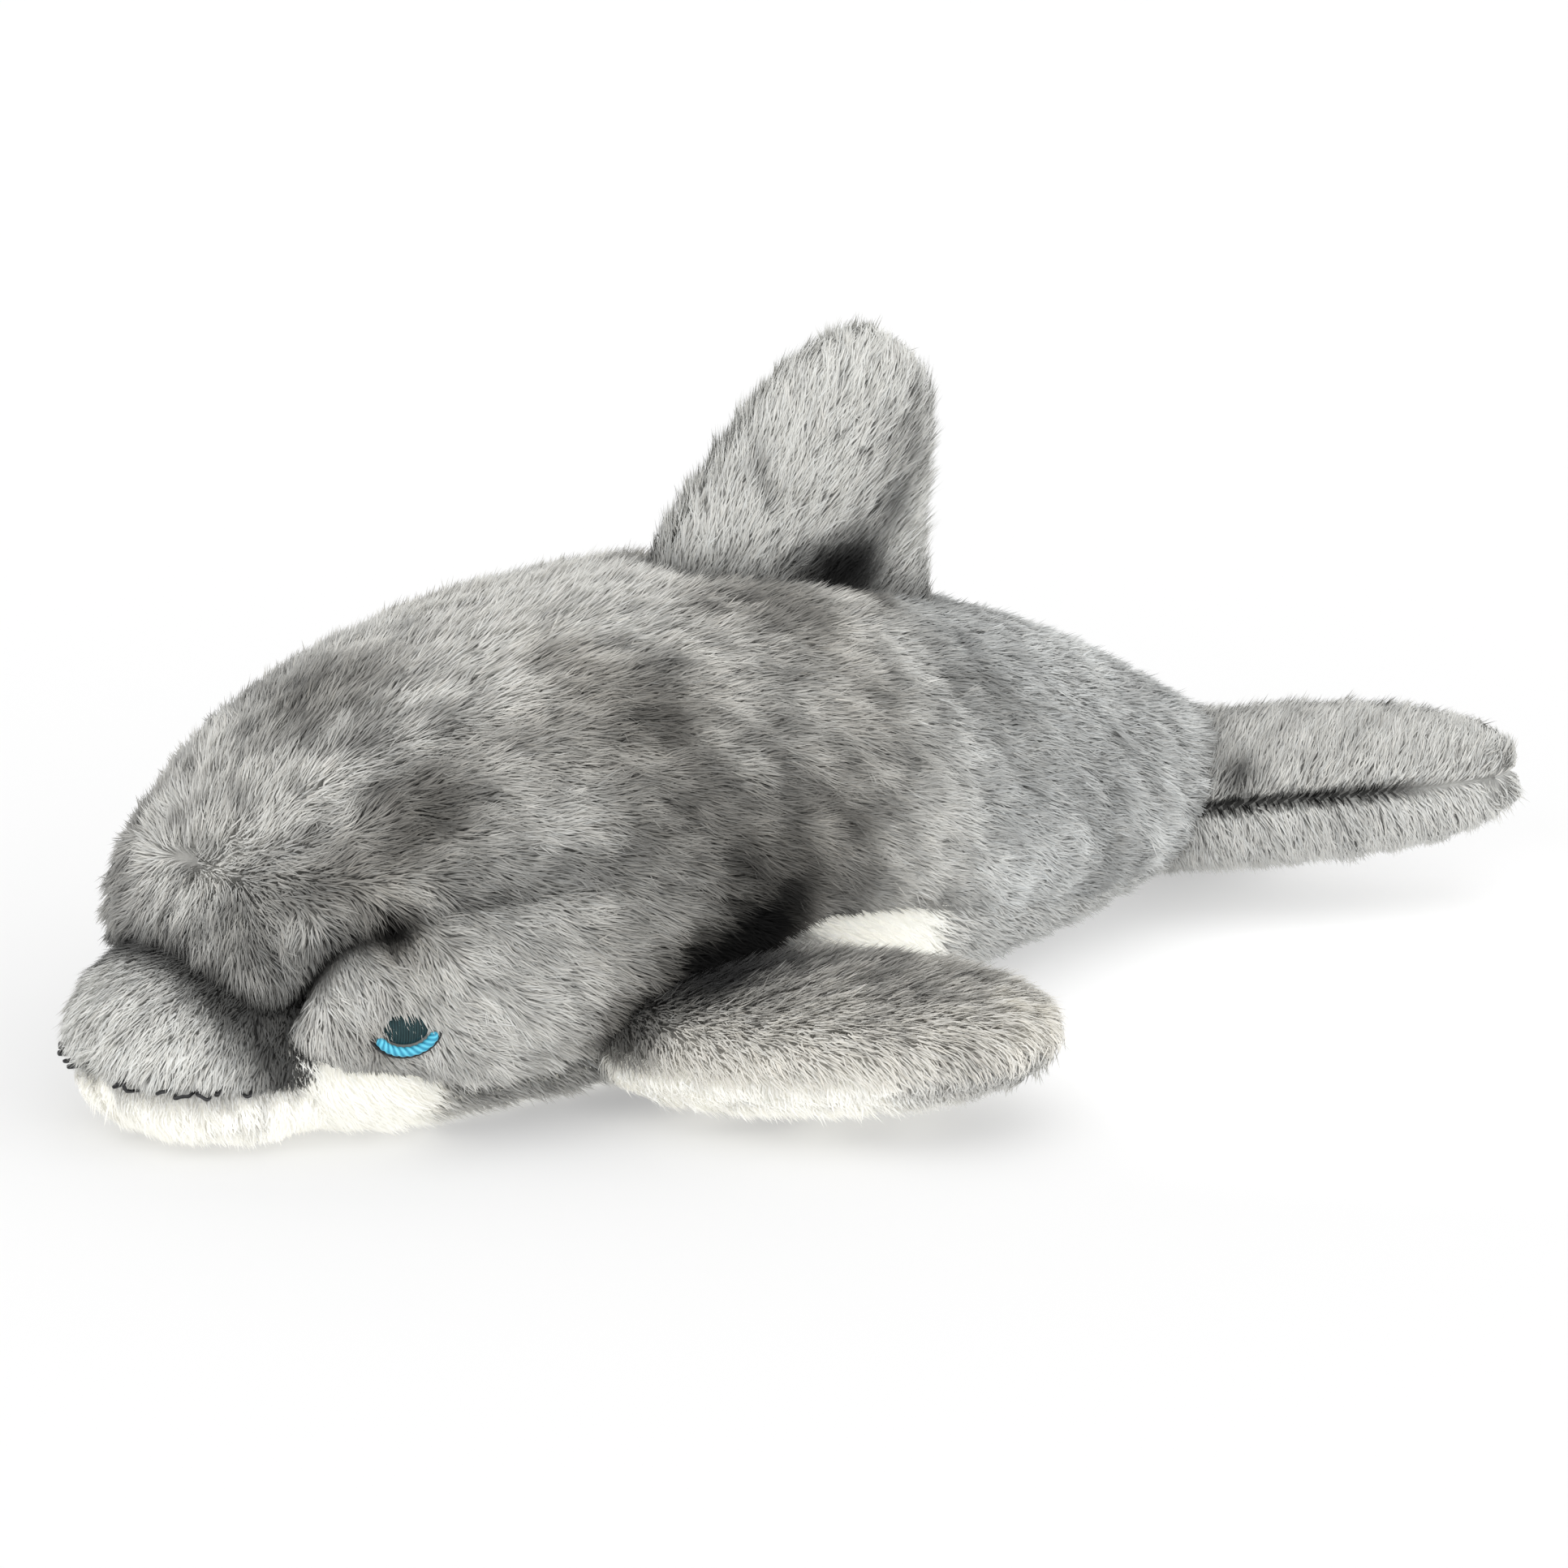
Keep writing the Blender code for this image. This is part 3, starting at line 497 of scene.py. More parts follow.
grooming = {
    "fill": .6,  # how tightly the panels are stuffed, from 0, slack, to 1, tight
    "density": 5.9e6,  # fibres for each square metre
    "bellyDensity": .60,  # share of that density under the toy
    "most": 88000,
    "width": .00030,
    "widths": (.7, 1.3),
    "lengths": (.75, 1.15),
    "leans": (.05, 1.45),
    "leanSpread": .10,
    "stray": .20,
    "sideStray": .30,
    # how far a fibre bends down again as the cloth turns away below it
    "turning": (-60, 230),
    "wrap": 1.15,
    # lean of a fibre's lower and upper half: shares of its own lean and of the cloth's turn, and the most
    "lowerHalf": (.55, .25, 1.9),
    "upperHalf": (1.25, .75, 2.5),
    # tufts: their size, the finer ones' share of it, and what they do to way, length and lean
    "tuftSize": .0060,
    "fineTuft": .45,
    "tuftPull": .20,
    "tuftLength": .06,
    "tuftLean": .05,
    # noise of each fibre's lightness and warmth, and of its tufts' lightness; the larger tufts are lighter
    # where they stand longest and most upright, painted light
    "toneNoise": .035,
    "tuftTones": (.03, .02),
    "warmthNoise": .08,
    "calmWhite": .85,  # share of that noise which white pile goes without
    "whiteFrom": (.88, .08),
    # the cloth under the pile is darker, painted shade at the roots, which white pile goes without
    "clothTone": .95,
    "smoothShare": .60,  # how far a fibre is shaded as the cloth below it, and not as its own blade
    "shadeTurn": (0, .35, .35, .7),  # how far that shading turns with the cloth at a fibre's corners
}
triangleCount = [0]


def faced(points, faces, normals):
    # faces turned to the side that their corners' normals point to, and the faces' own directions
    first, second, third = (points[faces[..., k]] for k in range(3))
    ways = np.cross(second - first, third - first)
    turned = (ways * normals[faces].sum(-2)).sum(-1) < 0
    faces = np.where(turned[..., None], faces[..., ::-1], faces)
    return faces, ways * np.where(turned, -1, 1)[..., None]


def plush(name, node, skin, normal, flow, tone, warmth, length, lean, keep, seed, density):
    # One panel: its cloth as a grid, and its pile as narrow bent kites of two triangles.
    # Half of a fibre rises from its root, and the other half leans further over to the flow.
    picked = sown(skin, density, keep, seed)
    pick = np.random.default_rng(seed + 1)
    count = len(picked[0])
    root, n, f = at(skin, picked), unit(at(normal, picked)), at(flow, picked)
    turning = at(bending(skin, normal, flow), picked) * grooming["wrap"]
    tuft, slope = cloudy(root, grooming["tuftSize"], seed + 2)
    fine, fineSlope = cloudy(root, grooming["tuftSize"] * grooming["fineTuft"], seed + 3)
    pull = slope + .5 * fineSlope
    f = unit(f) + grooming["stray"] * pick.normal(size=(count, 3)) + grooming["tuftPull"] * pull
    f = unit(f - n * (f * n).sum(-1, keepdims=True))
    reach = at(length, picked) * pick.uniform(*grooming["lengths"], count)
    reach = reach * (1 + grooming["tuftLength"] * tuft)
    tilt = at(lean, picked) + grooming["leanSpread"] * pick.normal(size=count) - grooming["tuftLean"] * tuft
    tilt = np.clip(tilt, *grooming["leans"])
    own, shared, most = grooming["lowerHalf"]
    low = np.minimum(own * tilt + shared * turning * reach, most)[:, None]
    own, shared, most = grooming["upperHalf"]
    high = np.minimum(np.minimum(own * tilt, 1.5) + shared * turning * reach, most)[:, None]
    first = n * np.cos(low) + f * np.sin(low)
    second = n * np.cos(high) + f * np.sin(high)
    middle = root + first * (.5 * reach)[:, None]
    tip = middle + second * (.5 * reach)[:, None]
    side = unit(np.cross(f, n) + grooming["sideStray"] * pick.normal(size=(count, 3)))
    side = unit(side - first * (side * first).sum(-1, keepdims=True))
    half = (grooming["width"] / 2 * pick.uniform(*grooming["widths"], count))[:, None] * side
    points = np.stack([root, middle - half, middle + half, tip], 1)
    points[..., 2] = np.maximum(points[..., 2], .0003)
    points = points.reshape(-1, 3)

    # shading: the cloth's own normal, turned on with the cloth towards the tip, mixed with the blade's
    turnedBy = np.stack([share * turning * reach for share in grooming["shadeTurn"]], 1)
    turnedBy = np.minimum(turnedBy, 1.6)[..., None]
    smooth = n[:, None] * np.cos(turnedBy) + f[:, None] * (np.sin(turnedBy) + .05) + .10 * pull[:, None]
    faces = np.arange(count)[:, None, None] * 4 + np.array([[0, 2, 1], [1, 2, 3]])
    faces, ways = faced(points, faces, smooth.reshape(-1, 3))
    ways = unit(ways)
    own = np.stack([ways[:, 0], ways.sum(1), ways.sum(1), ways[:, 1]], 1)
    level = at(tone, picked)
    whiteness = fade(level, *grooming["whiteFrom"])
    share = (grooming["smoothShare"] * (1 - whiteness))[:, None, None]
    smooth = unit(smooth) * share + unit(own) * (1 - share)
    plain = 1 - grooming["calmWhite"] * whiteness
    most = np.maximum(level, coat["lightest"])
    fineTone, tuftCrestLight = grooming["tuftTones"]
    # the larger tufts' crests lighter: painted light
    noise = grooming["toneNoise"] * pick.normal(size=count) + fineTone * fine + tuftCrestLight * tuft
    level = np.minimum(level * (1 + plain * noise), most)
    fibreWarmth = at(warmth, picked) + grooming["warmthNoise"] * pick.normal(size=count)
    rise = np.array([0, .5, .5, 1.0])
    edge = np.array([0, -1, 1, 0])
    uv = pileMap(level[:, None], fibreWarmth[:, None], rise, edge).reshape(-1, 2)[faces.ravel()]

    quads = gridCorners(*skin.shape[:2])
    flat, flatNormal = skin.reshape(-1, 3), normal.reshape(-1, 3)
    clothFaces = faced(flat, np.concatenate([quads[:, [0, 1, 2]], quads[:, [0, 2, 3]]]), flatNormal)[0]
    clothTone = tone.ravel()[clothFaces].mean(1)[:, None]
    # the cloth darker than its pile: painted shade at the roots, not under white pile
    paintedShade = grooming["clothTone"] + (1 - grooming["clothTone"]) * fade(clothTone, *grooming["whiteFrom"])
    clothWarmth = warmth.ravel()[clothFaces].mean(1)[:, None]
    clothUv = pileMap(clothTone * paintedShade, clothWarmth, np.array([0, 0, .12]), np.array([-1, 1, 0]))
    allPoints = np.concatenate([points, flat]) + toyShift
    allFaces = np.concatenate([faces.reshape(-1, 3), clothFaces + count * 4])
    allNormals = np.concatenate([unit(smooth).reshape(-1, 3), flatNormal])
    made = makeMesh(name, allPoints, allFaces, pile, np.concatenate([uv, clothUv.reshape(-1, 2)]), allNormals)
    triangleCount[0] += len(allFaces)
    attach(made, "root")
    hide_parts(node)
    print("combed", name, len(allFaces), "triangles")


def signedDistance(points, others, deepest=1.0):
    # distance from each point to the nearest of other skins' points, below 0 where it lies inside them;
    # a point further away than the deepest that can lie inside is outside
    flat = points.reshape(-1, 3)
    places = np.concatenate([o[0].reshape(-1, 3) for o in others])
    ways = np.concatenate([o[1].reshape(-1, 3) for o in others])
    out = np.empty(len(flat))
    square = (places**2).sum(1)
    chunk = 2000
    for start in range(0, len(flat), chunk):
        part = flat[start:start + chunk]
        gap = (part**2).sum(1)[:, None] + square - 2 * part @ places.T
        nearest = gap.argmin(1)
        apart = part - places[nearest]
        away = np.linalg.norm(apart, axis=1)
        inside = ((apart * ways[nearest]).sum(1) < 0) & (away < deepest)
        out[start:start + chunk] = np.where(inside, -away, away)
    return out.reshape(points.shape[:-1])


def gridNormals(skin, centre):
    # cross product of the grid's two slopes, turned away from the centre line
    down, across = np.gradient(skin, axis=0), np.gradient(skin, axis=1)
    normal = unit(np.cross(down, across))
    away = ((skin - centre) * normal).sum(-1)
    return normal * np.where(away.mean() < 0, -1, 1)


# Pillows: beak, fin, flippers and fluke, each an upper and a lower half.
# groove is how far the seam between the halves is drawn in, and the next value how much painted shade
# darkens the pile in that seam; the joint value is how much painted shade darkens the pile where the pillow
# is sewn to the body, on its own pile over jointReach and on the body's over bodyReach, and darkest is the
# least lightness that its own pile keeps.
pillowKeys = ("groove", "rimDark", "seamReach", "joint", "jointReach", "bodyReach", "darkest", "length",
              "lean", "inset", "rimShort")
pillowRows = {
    "beak": (.0008, .10, .0025, .85, .0046, .0034, .34, .0052, 48, .0008, .5),
    "fin": (.0004, .0, .0025, .35, .0040, .0040, .0, .0060, 48, .0022, 0),
    "flipper": (.0004, .0, .0025, .95, .0045, .0050, .0, .0056, 50, .0028, 0),
    "fluke": (.0012, .95, .0014, .15, .0030, .0030, .0, .0054, 42, .0018, .4),
}
pillowLooks = {kind: dict(zip(pillowKeys, row)) for kind, row in pillowRows.items()}


def pillowHalf(kind, section, start, rows=52, columns=34, vFrom=0.0, turn=None, onFloor=False):
    look = pillowLooks[kind]
    inset = look["inset"]
    # rows lie closer together towards the tips
    spread = np.sin(np.linspace(0, np.pi / 2, rows + 1))
    if vFrom < 0:
        spread = (1 - np.cos(np.linspace(0, np.pi, rows + 1))) / 2
    v = (vFrom + (1 - vFrom) * spread)[:, None]
    u = (start + np.linspace(0, np.pi, columns + 1))[None, :]
    skin = pillowPoints(section, v, u, inset)
    centre = np.broadcast_to(section(np.broadcast_to(v, skin.shape[:2]), inset)[0], skin.shape)
    # normals come from rows just short of the tips, where the pillow is drawn together
    shortOfTips = np.clip(v * .999 + (.0005 if vFrom >= 0 else 0), -.9995, .9995)
    normal = gridNormals(pillowPoints(section, shortOfTips, u, inset), centre)
    out = unit(skin - centre)
    pinched = np.linalg.norm(skin - centre, axis=-1, keepdims=True) < .004
    normal = unit(np.where(pinched, out + normal, normal))
    fromRims = [np.linalg.norm(skin - skin[:, k:k + 1], axis=-1) for k in (0, columns)]
    rim = np.minimum(*fromRims)
    skin = skin - normal * (look["groove"] * bell(rim, look["seamReach"]))[..., None]
    if turn is not None:
        ahead = turn(skin + normal * .001)
        skin, normal = turn(skin), unit(ahead - turn(skin))
    if onFloor:
        skin[..., 2] = np.maximum(skin[..., 2], body["overFloor"])
    return {"kind": kind, "v": np.broadcast_to(v, skin.shape[:2]), "skin": skin, "normal": normal,
            "rim": rim, "fromRims": fromRims}


finFoot = -fin["sink"] / (fin["height"] + fin["skirt"])
halves = {
    "beakUpper": pillowHalf("beak", beakSection, 0.0, onFloor=True),
    "beakLower": pillowHalf("beak", beakSection, np.pi, onFloor=True),
    "finLeft": pillowHalf("fin", finSection, 0.0, vFrom=finFoot),
    "finRight": pillowHalf("fin", finSection, np.pi, vFrom=finFoot),
    "flukeUpper": pillowHalf("fluke", flukeSection, 0.0, rows=96, vFrom=-1.0, turn=rolled, onFloor=True),
    "flukeLower": pillowHalf("fluke", flukeSection, np.pi, rows=96, vFrom=-1.0, turn=rolled, onFloor=True),
}
for sideSign, sideName in ((-1, "Left"), (1, "Right")):
    for start, level in ((0.0, "Upper"), (np.pi, "Lower")):
        section = flipperSection(sideSign)
        halves["flipper" + sideName + level] = pillowHalf("flipper", section, start, onFloor=True)


# Body panels
def bodyPanel(stations, low, high, share):
    angle = low[:, None] + (high - low)[:, None] * share[None, :]
    station = np.broadcast_to(stations[:, None], angle.shape)
    return {"station": station, "angle": angle, "skin": bodySkin(station, angle),
            "normal": skinNormal(station, angle)}


bodyRows = np.linspace(.02, 12.98, 130)
cheekRows = np.linspace(body["cheekFrom"], body["cheekTo"], 70)
above, below = seamAngle(-1, bodyRows), seamAngle(1, bodyRows)
zeroRow = np.zeros_like(bodyRows)
even = np.linspace(0, 1, 46)  # rows of the grid lie closer together near the deep seams
cheekTop, cheekFoot = seamAngle(-1, cheekRows), seamAngle(1, cheekRows)
cheekEven = np.linspace(0, 1, 31)
panels = {
    "backLeft": bodyPanel(bodyRows, zeroRow, above, 1 - (1 - even) ** 1.4),
    "backRight": bodyPanel(bodyRows, -above, zeroRow, even**1.4),
    "cheekLeft": bodyPanel(cheekRows, cheekTop, cheekFoot, cheekEven),
    "cheekRight": bodyPanel(cheekRows, -cheekFoot, -cheekTop, cheekEven),
    "belly": bodyPanel(bodyRows, below, 2 * np.pi - below, (1 - np.cos(np.pi * np.linspace(0, 1, 61))) / 2),
}
bodySkins = [(p["skin"], p["normal"]) for p in panels.values()]

# Where the body's pile is lighter or darker: the coat's own patches, painted shade in hollows, creases and
# the gap over the flippers, and painted light on parts that face away from the lamps. Each spot is a place
# (x, y, z) on the left side, which the right side mirrors, and reach, in millimetres, then the change of
# lightness
shades = [
    (-116, -16, 63, 12, .10), (-102, -32, 60, 8.5, -.32), (-110, -33, 54, 9, -.17),
    (-116, -33, 47, 9, -.20), (-121, -24, 52, 9, -.13), (-128, -18, 40, 8, -.06), (-121, -30, 42, 5, .09),
    (-121, -27, 36, 6, .07), (-93, -3, 75, 8, -.10), (-77, -19, 75, 12, .04), (-50, -7, 81, 14, .11),
    (-61, -9, 80, 5, -.10), (-78, -31, 68, 9, -.14), (-59, -32, 70, 9, -.15), (-44, -32, 71, 8, -.06),
    (-80, -40, 57, 9, .09), (-62, -40, 59, 6, .07), (-46, -40, 61, 8, .07), (-22, -16, 79, 12, -.10),
    (-13, -22, 75, 10, -.10), (-40, -46, 38, 9, -.17), (-46, -46, 45, 9, -.13), (-29, -44, 49, 12, -.09),
    (-14, -38, 60, 12, -.06), (11, -26, 68, 10, -.04), (7, -40, 41, 10, .08), (54, -28, 26, 2.8, -.25),
    (88, -17, 32, 6, -.15), (-58, -40, 60, 17, -.26), (-28, -43, 52, 19, -.08), (-26, -45, 42, 10, -.12),
    (-60, -43, 36, 9, -.01), (-109.2, -33.5, 40.2, 3.2, -.50), (-118, -14, 62, 9, .10),
    (-107, 0, 70, 10, -.14), (6, -13, 74.5, 6, -.35), (-128, 18, 50, 14, .13), (-122, 20, 70, 14, .10),
    (-130, -2, 48, 10, .11), (0, -27, 70, 8, .07), (2, -42, 46, 5.5, .09), (2, -41, 36, 5.5, .04),
    (21, -29, 61, 7, -.08), (58, -27, 30, 6, .10), (38, -32.5, 24.5, 8.5, .12), (72, -20, 19, 7, .16),
    (41, -17, 61, 13, .03), (65, -10, 52, 10, .08), (-90, -29, 67.5, 8, -.08), (-85, -39, 57, 8, -.08),
    (22, -15, 70, 9, .08), (-71, -47, 18.5, 7, -.55), (-58, -49, 27, 7.5, -.70),
    (-45, -49, 30, 7.5, -.60), (-36, -47, 33, 5, -.20), (-108, -37, 37, 6, -.11), (-66, -22, 76, 8, -.14),
    (-35, -18, 78, 11, -.10), (-15, -20, 77, 12, -.10), (28, -31, 52, 10, -.09), (-64, -30, 72, 8, -.06),
    (-12, -33, 66, 12, -.08), (-68, -18, 77, 7, -.10), (-121, 0, 62, 6, -.09), (-119, -29, 31.5, 4, .20),
    (-112, -33, 24, 4.5, -.22), (12, -39, 28, 7, .12), (26, -36, 26, 7, .12), (-74, -45, 34, 9, -.08),
    (-100, 0, 73, 8, -.08),
]
# the same for beak, fin, flippers and fluke: mostly painted shade, in the fin's hollow and creases, the
# beak's crease, the flippers' gap and the fluke's kink, with a lighter flipper tip
pillowShades = [
    (6.5, -11, 78, 6.4, -.90), (-1, -11, 79, 5, -.60), (-6, -11, 81, 3, -.40), (15, -10.5, 89, 4.8, -.24),
    (18.5, -9, 98, 5.5, -.20), (-120, -16, 33, 6, -.35), (-129, -13, 29, 6.5, -.18),
    (-127, -18, 26.5, 6, -.18), (-50, -52, 27, 5, -.60), (-11.2, -5, 101, 2.8, -.22),
    (-11.4, -6, 96, 2.8, -.22), (22, -9, 94, 3.6, -.26), (16, -10, 87, 4, -.38), (26, -5, 104, 7, -.13),
    (-123.7, -21, 27, 8, -.40), (-124.2, -14.8, 30, 6, -.30), (-118, -25, 22.5, 8, -.34),
    (-112.5, -26.2, 17, 4.5, -.25), (-129, -8, 28, 3, -.22), (-71, -48.5, 18.5, 5, -.60),
    (-58, -51, 26, 7.2, -.90), (-41.5, -51, 27, 6, -.45), (-16.5, -94, 20, 14, .23),
    (-30, -62, 27, 8, -.10), (-31, -82, 25, 7, -.07), (88.2, -22.2, 28.5, 3, -.85),
    (79.4, -15.7, 17, 2, -.45), (106, -34, 22.3, 4, -.10),
]
# lightness of the coat, and where it passes from one to the next: start and length, up or along the toy
coat = {
    # the belly's lightness behind is the white panel with painted shade
    "light": .82, "flank": .68, "rear": .70, "belly": .985, "shadedBellyRear": .80, "cheek": .775, "lightest": .87,
    "upFlank": (.045, .035), "toRear": (-.005, .025), "toBellyRear": (.003, .010),
    "cheekDarker": .21, "cheekBehind": (-.080, .03), "underCheekDarker": .04,
    # the seams' painted shade, and where it fades towards the tail
    "seamShade": .80, "seamFades": (-.025, .02),
    "warmth": .50, "bellyCooler": .20, "rearCooler": .30, "darkWarmer": 1.2,
}
# cloudy mottling: its share, less towards the tail, and on the cheek half of it; then each layer's size,
# strength, seed and the ways it varies in
mottling = {
    "share": .8, "less": .35, "behind": (.005, .03), "cheekShare": .5,
    "layers": [(.030, .08, 21, (1, 0, 1)), (.0120, .09, 22, (1, 1, 1)), (.0050, .05, 23, (1, 1, 1))],
}


def patched(place, spots):
    # sum of round soft spots, each a bell curve of its reach
    mirrored = place * np.array([1, 0, 1]) - np.abs(place) * np.array([0, 1, 0])
    change = np.zeros(place.shape[:-1])
    for x, y, z, reach, amount in spots:
        away = ((mirrored - np.array([x, y, z]) / 1000) ** 2).sum(-1)
        change += amount * np.exp(-away / (reach / 1000) ** 2)
    return change


def bodyTone(label, place):
    # lightness from the back down the flank and towards the tail, then the soft spots, partly painted light
    # and shade, and the mottling
    x, z = place[..., 0], place[..., 2]
    tone = coat["flank"] + (coat["light"] - coat["flank"]) * fade(z, *coat["upFlank"])
    tone = tone + (coat["rear"] - tone) * fade(x, *coat["toRear"])
    share = mottling["share"] - mottling["less"] * fade(x, *mottling["behind"])
    if label.startswith("cheek"):
        tone = coat["cheek"] - coat["cheekDarker"] * fade(x, *coat["cheekBehind"])
        share = share * mottling["cheekShare"]
    clouds = sum(amount * cloudy(place * ways, size, seed)[0]
                 for size, amount, seed, ways in mottling["layers"])
    return np.minimum(tone * (1 + share * clouds) + patched(place, shades), coat["lightest"])


def seamDepth(panel, reach, power):
    # 0 to 1, deep in the seams over and under the cheek
    deep = np.zeros(panel["station"].shape)
    for side, depths in ((-1, body["upperSeam"]), (1, body["lowerSeam"])):
        near = bell(seamDistance(side, panel["station"], panel["angle"]), reach, power)
        depth = smoothCurve(depths, panel["station"]) / body["deepSeam"]
        deep = np.maximum(deep, near * np.clip(depth, 0, 1))
    return deep


# bare and clipped say how far the pile keeps off the embroidery, and how short it is round it
eye = {
    "station": 3.0, "angle": math.radians(97.5), "halfLength": .0039, "halfHeight": .0027,
    "forward": .0012, "raised": .0004, "sunk": .0008, "dome": .0016, "threadPitch": .00045,
    "threadRise": .00009,
    "ringDistance": .0010, "ringRadius": .00086, "ringTurns": 3.5, "ringFrom": math.radians(195),
    "ringTo": math.radians(352), "outlineDistance": .0022, "outlineRadius": .00032, "bareBelow": .0024,
    "bareAbove": -.0002, "bareWider": .0014, "clippedReach": .0060, "clippedAbove": .20, "clippedBelow": .42,
    "cheekBend": .09, "backDepth": .0004, "ringLift": .0010, "outlineLift": .0004,
}


def cheekFrame():
    # middle of the left eye on the cheek, the way back along it, the way up, and the way out
    middle = plainSkin(eye["station"], eye["angle"])
    out = skinNormal(np.array(eye["station"]), np.array(eye["angle"]))
    upward = unit(up - out * (out @ up))
    backward = np.cross(upward, out)
    backward = backward * np.sign(backward[0])
    middle = middle - backward * eye["forward"] + upward * eye["raised"]
    return middle, backward, upward, out


def onCheek(side, a, b, away):
    # a back along the cheek, b up it and away from it, bent round with the cheek
    middle, backward, upward, out = cheekFrame()
    bend = away - eye["sunk"] - (a**2 + b**2) / eye["cheekBend"]
    point = middle + a[..., None] * backward + b[..., None] * upward + bend[..., None] * out
    return point * np.array([1, -side, 1])


eyeMiddle, eyeBack, eyeUp, eyeOut = cheekFrame()
jointLooks = [(kind, [(h["skin"], h["normal"]) for h in halves.values() if h["kind"] == kind])
              for kind in pillowLooks]
# The left side's pull on the pile: back over the brow, down at its foot, back and down the flank, and
# between them a swirl that mats it. The ridge has no parting: the pull aside sets in over that angle.
combing = {
    "brow": np.array([.90, -.25, .10]), "foot": np.array([.30, -.35, -.90]),
    "flank": np.array([.90, -.15, -.40]), "belly": np.array([.85, 0, -.5]),
    "footUnder": (.052, -.012), "flankFrom": (2.4, 2), "ridge": .5,
    "swirlSize": .013, "swirlSeed": 41, "swirl": .45, "swirlLess": .20,
    "rear": (-.005, .03), "length": .0058, "rearShorter": .0010, "lean": 50, "rearLean": 5,
}
# where the pile thins out or is clipped: reach and power of the seams' bell curves, and shares of the pile
trimming = {
    "groove": (.0032, 1.5), "core": (.0015, 2.0), "seam": (.0045, 2.0), "coreBare": .95, "seamShorter": .45,
    "lyingFrom": (4, 2), "lyingTo": (7.5, 1.5), "lyingWorn": .45,
    "jawReach": .0035, "jawTo": (3.6, .6), "jawShorter": .6,
    "jointInside": -.0012, "deepest": .015, "jointShorter": .45, "narrower": .6, "cheekJointShade": .40,
}
mirror = np.array([1, -1, 1])


def nodeName(label):
    # backLeft is the part's back_left, and finLeft its dorsal_fin_left
    spaced = "".join("_" + letter.lower() if letter.isupper() else letter for letter in label)
    return spaced.replace("fin_", "dorsal_fin_")


def bodyPull(label, panel):
    # the left side's pull, mirrored for the right
    if label == "belly":
        return combing["belly"]
    skin = panel["skin"]
    foot = fade(skin[..., 2:], *combing["footUnder"])
    flank = fade(panel["station"][..., None], *combing["flankFrom"])
    pull = combing["brow"] * (1 - foot) + combing["foot"] * foot
    swirl = cloudy(skin, combing["swirlSize"], combing["swirlSeed"])[1]
    swirl = swirl * (combing["swirl"] - combing["swirlLess"] * flank)
    pull = pull * (1 - flank) + combing["flank"] * flank + swirl
    fromRidge = np.abs((panel["angle"] + np.pi) % (2 * np.pi) - np.pi)
    aside = fade(fromRidge, 0, combing["ridge"]) * (-1 if label.endswith("Right") else 1)
    return pull * np.stack([np.ones_like(aside), aside, np.ones_like(aside)], -1)


def bellyTone(panel, x):
    # white, with the grey of the cheeks running on under the toy behind the jaw, and darker behind: painted
    # shade on the white panel
    middleShare = fade(panel["station"], 3.6, .5) * (1 - fade(panel["station"], 5.6, .5))
    fromBelow = np.pi - np.abs(panel["angle"] - np.pi)
    underCheek = middleShare * (1 - fade(fromBelow, 2.45, .25))
    tone = coat["belly"] + (coat["cheek"] - coat["underCheekDarker"] - coat["belly"]) * underCheek
    return tone + (coat["shadedBellyRear"] - coat["belly"]) * fade(x, *coat["toBellyRear"])


def trimmedByEye(label, panel):
    # no pile on the embroidery, and shorter pile round it
    mirrored = panel["skin"] * (mirror if label.endswith("Right") else 1) - eyeMiddle
    a, b = mirrored @ eyeBack, mirrored @ eyeUp
    below = b < 0
    wide = eye["halfLength"] + eye["bareAbove"] + np.where(below, eye["bareWider"], 0)
    high = eye["halfHeight"] + np.where(below, eye["bareBelow"], eye["bareAbove"])
    onSide = (mirrored @ eyeOut > -.01) & (panel["station"] < 5)
    fromEye = np.sqrt((a / wide) ** 2 + (b / high) ** 2)
    clipped = np.exp(-np.maximum(fromEye - 1, 0) ** 2 * (wide / eye["clippedReach"]) ** 2 * 2)
    shorter = np.where(b > 0, eye["clippedAbove"], eye["clippedBelow"]) * clipped * onSide
    return np.where(onSide & (fromEye < 1), 0, 1), 1 - shorter


